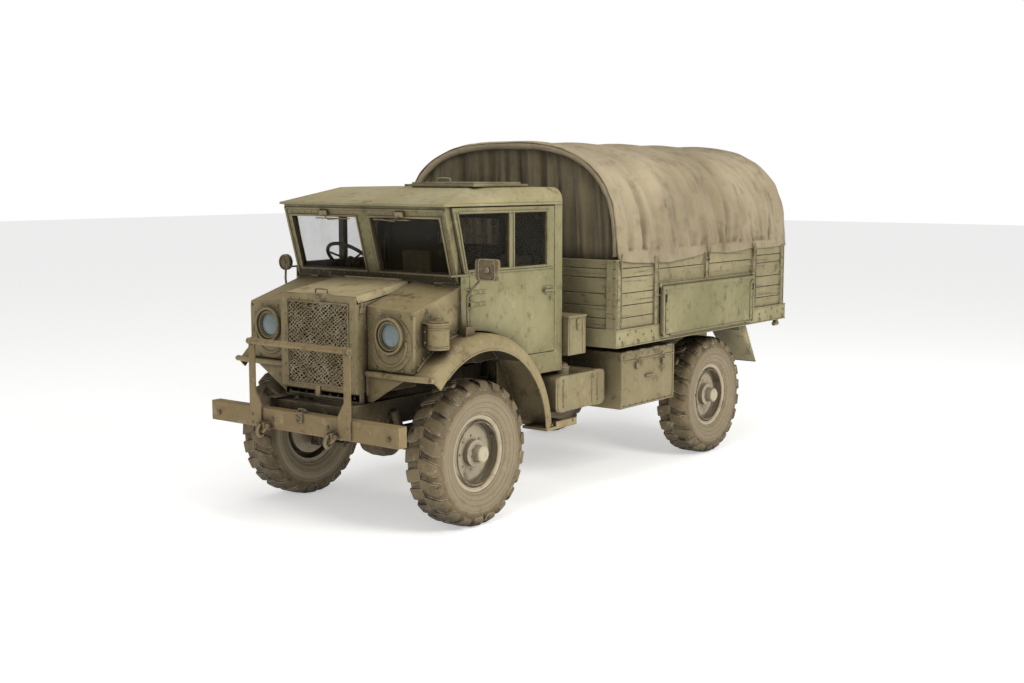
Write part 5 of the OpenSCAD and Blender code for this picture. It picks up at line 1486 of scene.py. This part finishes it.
ring(stow, at(850, 1140, 488), (0, 0, 1), 58, 6, 48, 8)
ball(stow, at(850, 1140, 492), 52, (1, 1, 0.7))
for y in range(780, 1150, 34):
    bar(stow, (770, y, 70), (970, y + 8, 78), 1.5)
bolts(stow, [(990, y, 90) for y in (820, 1100)])
mirrored(stow)
piece("box_and_tank_trim", stow, BOX_PAINT)

guards = bmesh.new()
rod(guards, at(700, 4065, 226), at(1000, 4065, 226), 8, 12)
for x in (702, 996):
    tube(guards, [at(x, 3745, 552), at(x, 3830, 470), at(x, 4060, 232)], 6, 8)
for y, z in ((3800, 510), (3900, 410), (4000, 305)):
    bolts(guards, [(x, y, z) for x in (760, 940)], (0, -0.75, -0.7))
bar(guards, (1036, 4342, 560), (1064, 4376, 612), 3)
mirrored(guards)
piece("guard_edges", guards, CHASSIS_PAINT)
print("boxes, tanks and guards dressed")

# %% [markdown]
# ## Frame, springs and axles
# The frame's rails are riveted, and each spring is clamped to its axle by four
# U-bolt legs. The clips on the leaves follow the spring's circle.

# %% Frame, springs and axles
under = bmesh.new()
rivets(under, [(400, y, z) for y in range(-700, 4150, 150) for z in (222, 348)], size=8)
SPRING_LOW, SPRING_RADIUS = 58, 2000
for axle in (0, 3300):
    bar(under, (322, axle - 76, -82), (408, axle + 76, -62), 4)
    bar(under, (324, axle - 72, 103), (406, axle + 72, 117), 3)
    for y in (-58, 58):
        for x in (326, 404):
            for foot, head, radius, sides in ((-96, 128, 8, 10), (117, 132, 15, 6),
                                              (-98, -82, 15, 6)):
                rod(under, at(x, axle + y, foot), at(x, axle + y, head), radius, sides)
    for y in (-360, -200, 200, 360):
        low = SPRING_LOW + SPRING_RADIUS - math.sqrt(SPRING_RADIUS ** 2 - y * y)
        bar(under, (331, axle + y - 15, low - 5), (399, axle + y + 15, low + 52), 3)
    for y in (-500, 500):
        for x in (316, 414):
            rod(under, at(x - 6, axle + y, 162), at(x + 6, axle + y, 162), 17, 6)
    for y in (-430, 430):
        rod(under, at(430, axle + y * 0.45, 10), at(432, axle + y * 0.75, 300), 26, 20)
        rod(under, at(431, axle + y * 0.60, 160), at(432, axle + y * 0.75, 302), 33, 20)
mirrored(under)
piece("frame_fittings", under, CHASSIS_PAINT)
print("chassis dressed")

# %% [markdown]
# ## Inside the cab
# The driver sits on the right, behind a flat wheel. The dash is a plain pressed
# panel with round dials, and the levers rise beside the engine cover.

# %% Dash, levers and pedals
dash = bmesh.new()
bar(dash, (-772, -26, 1062), (772, 10, 1172), 8)
bar(dash, (-772, 4, 1150), (772, 40, 1172), 6)
for x, r in ((-640, 34), (-540, 46), (-430, 46), (-340, 30), (-270, 22), (-200, 22)):
    ring(dash, at(x, 12, 1112), (0, 1, 0), r, 5, 32, 8)
for x in (-120, -60, 0, 60, 120):
    rod(dash, at(x, 10, 1100), at(x, 24, 1100), 9, 12)
tube(dash, [at(250, 12, 1140), at(252, 60, 1140), at(620, 60, 1140), at(622, 12, 1140)], 10)
bar(dash, (-288, 120, 948), (288, 600, 958), 8)
for x, y, z, tx, ty, tz in ((-236, 420, 952, -262, 380, 1190), (-180, 470, 952, -186, 450, 1120),
                            (-120, 470, 952, -120, 452, 1100), (-312, 520, 588, -318, 470, 900)):
    tube(dash, [at(x, y, z), at((x + tx) / 2, (y + ty) / 2 + 12, (z + tz) / 2), at(tx, ty, tz)], 8)
    ball(dash, at(tx, ty, tz), 22, around=16, up=10)
for x in (-610, -520, -400):
    tube(dash, [at(x, -20, 820), at(x, 50, 740), at(x, 96, 690)], 7)
    bar(dash, (x - 28, 88, 664), (x + 28, 98, 716), 3)
piece("cab_controls", dash, CHASSIS_PAINT)
print("cab fitted")
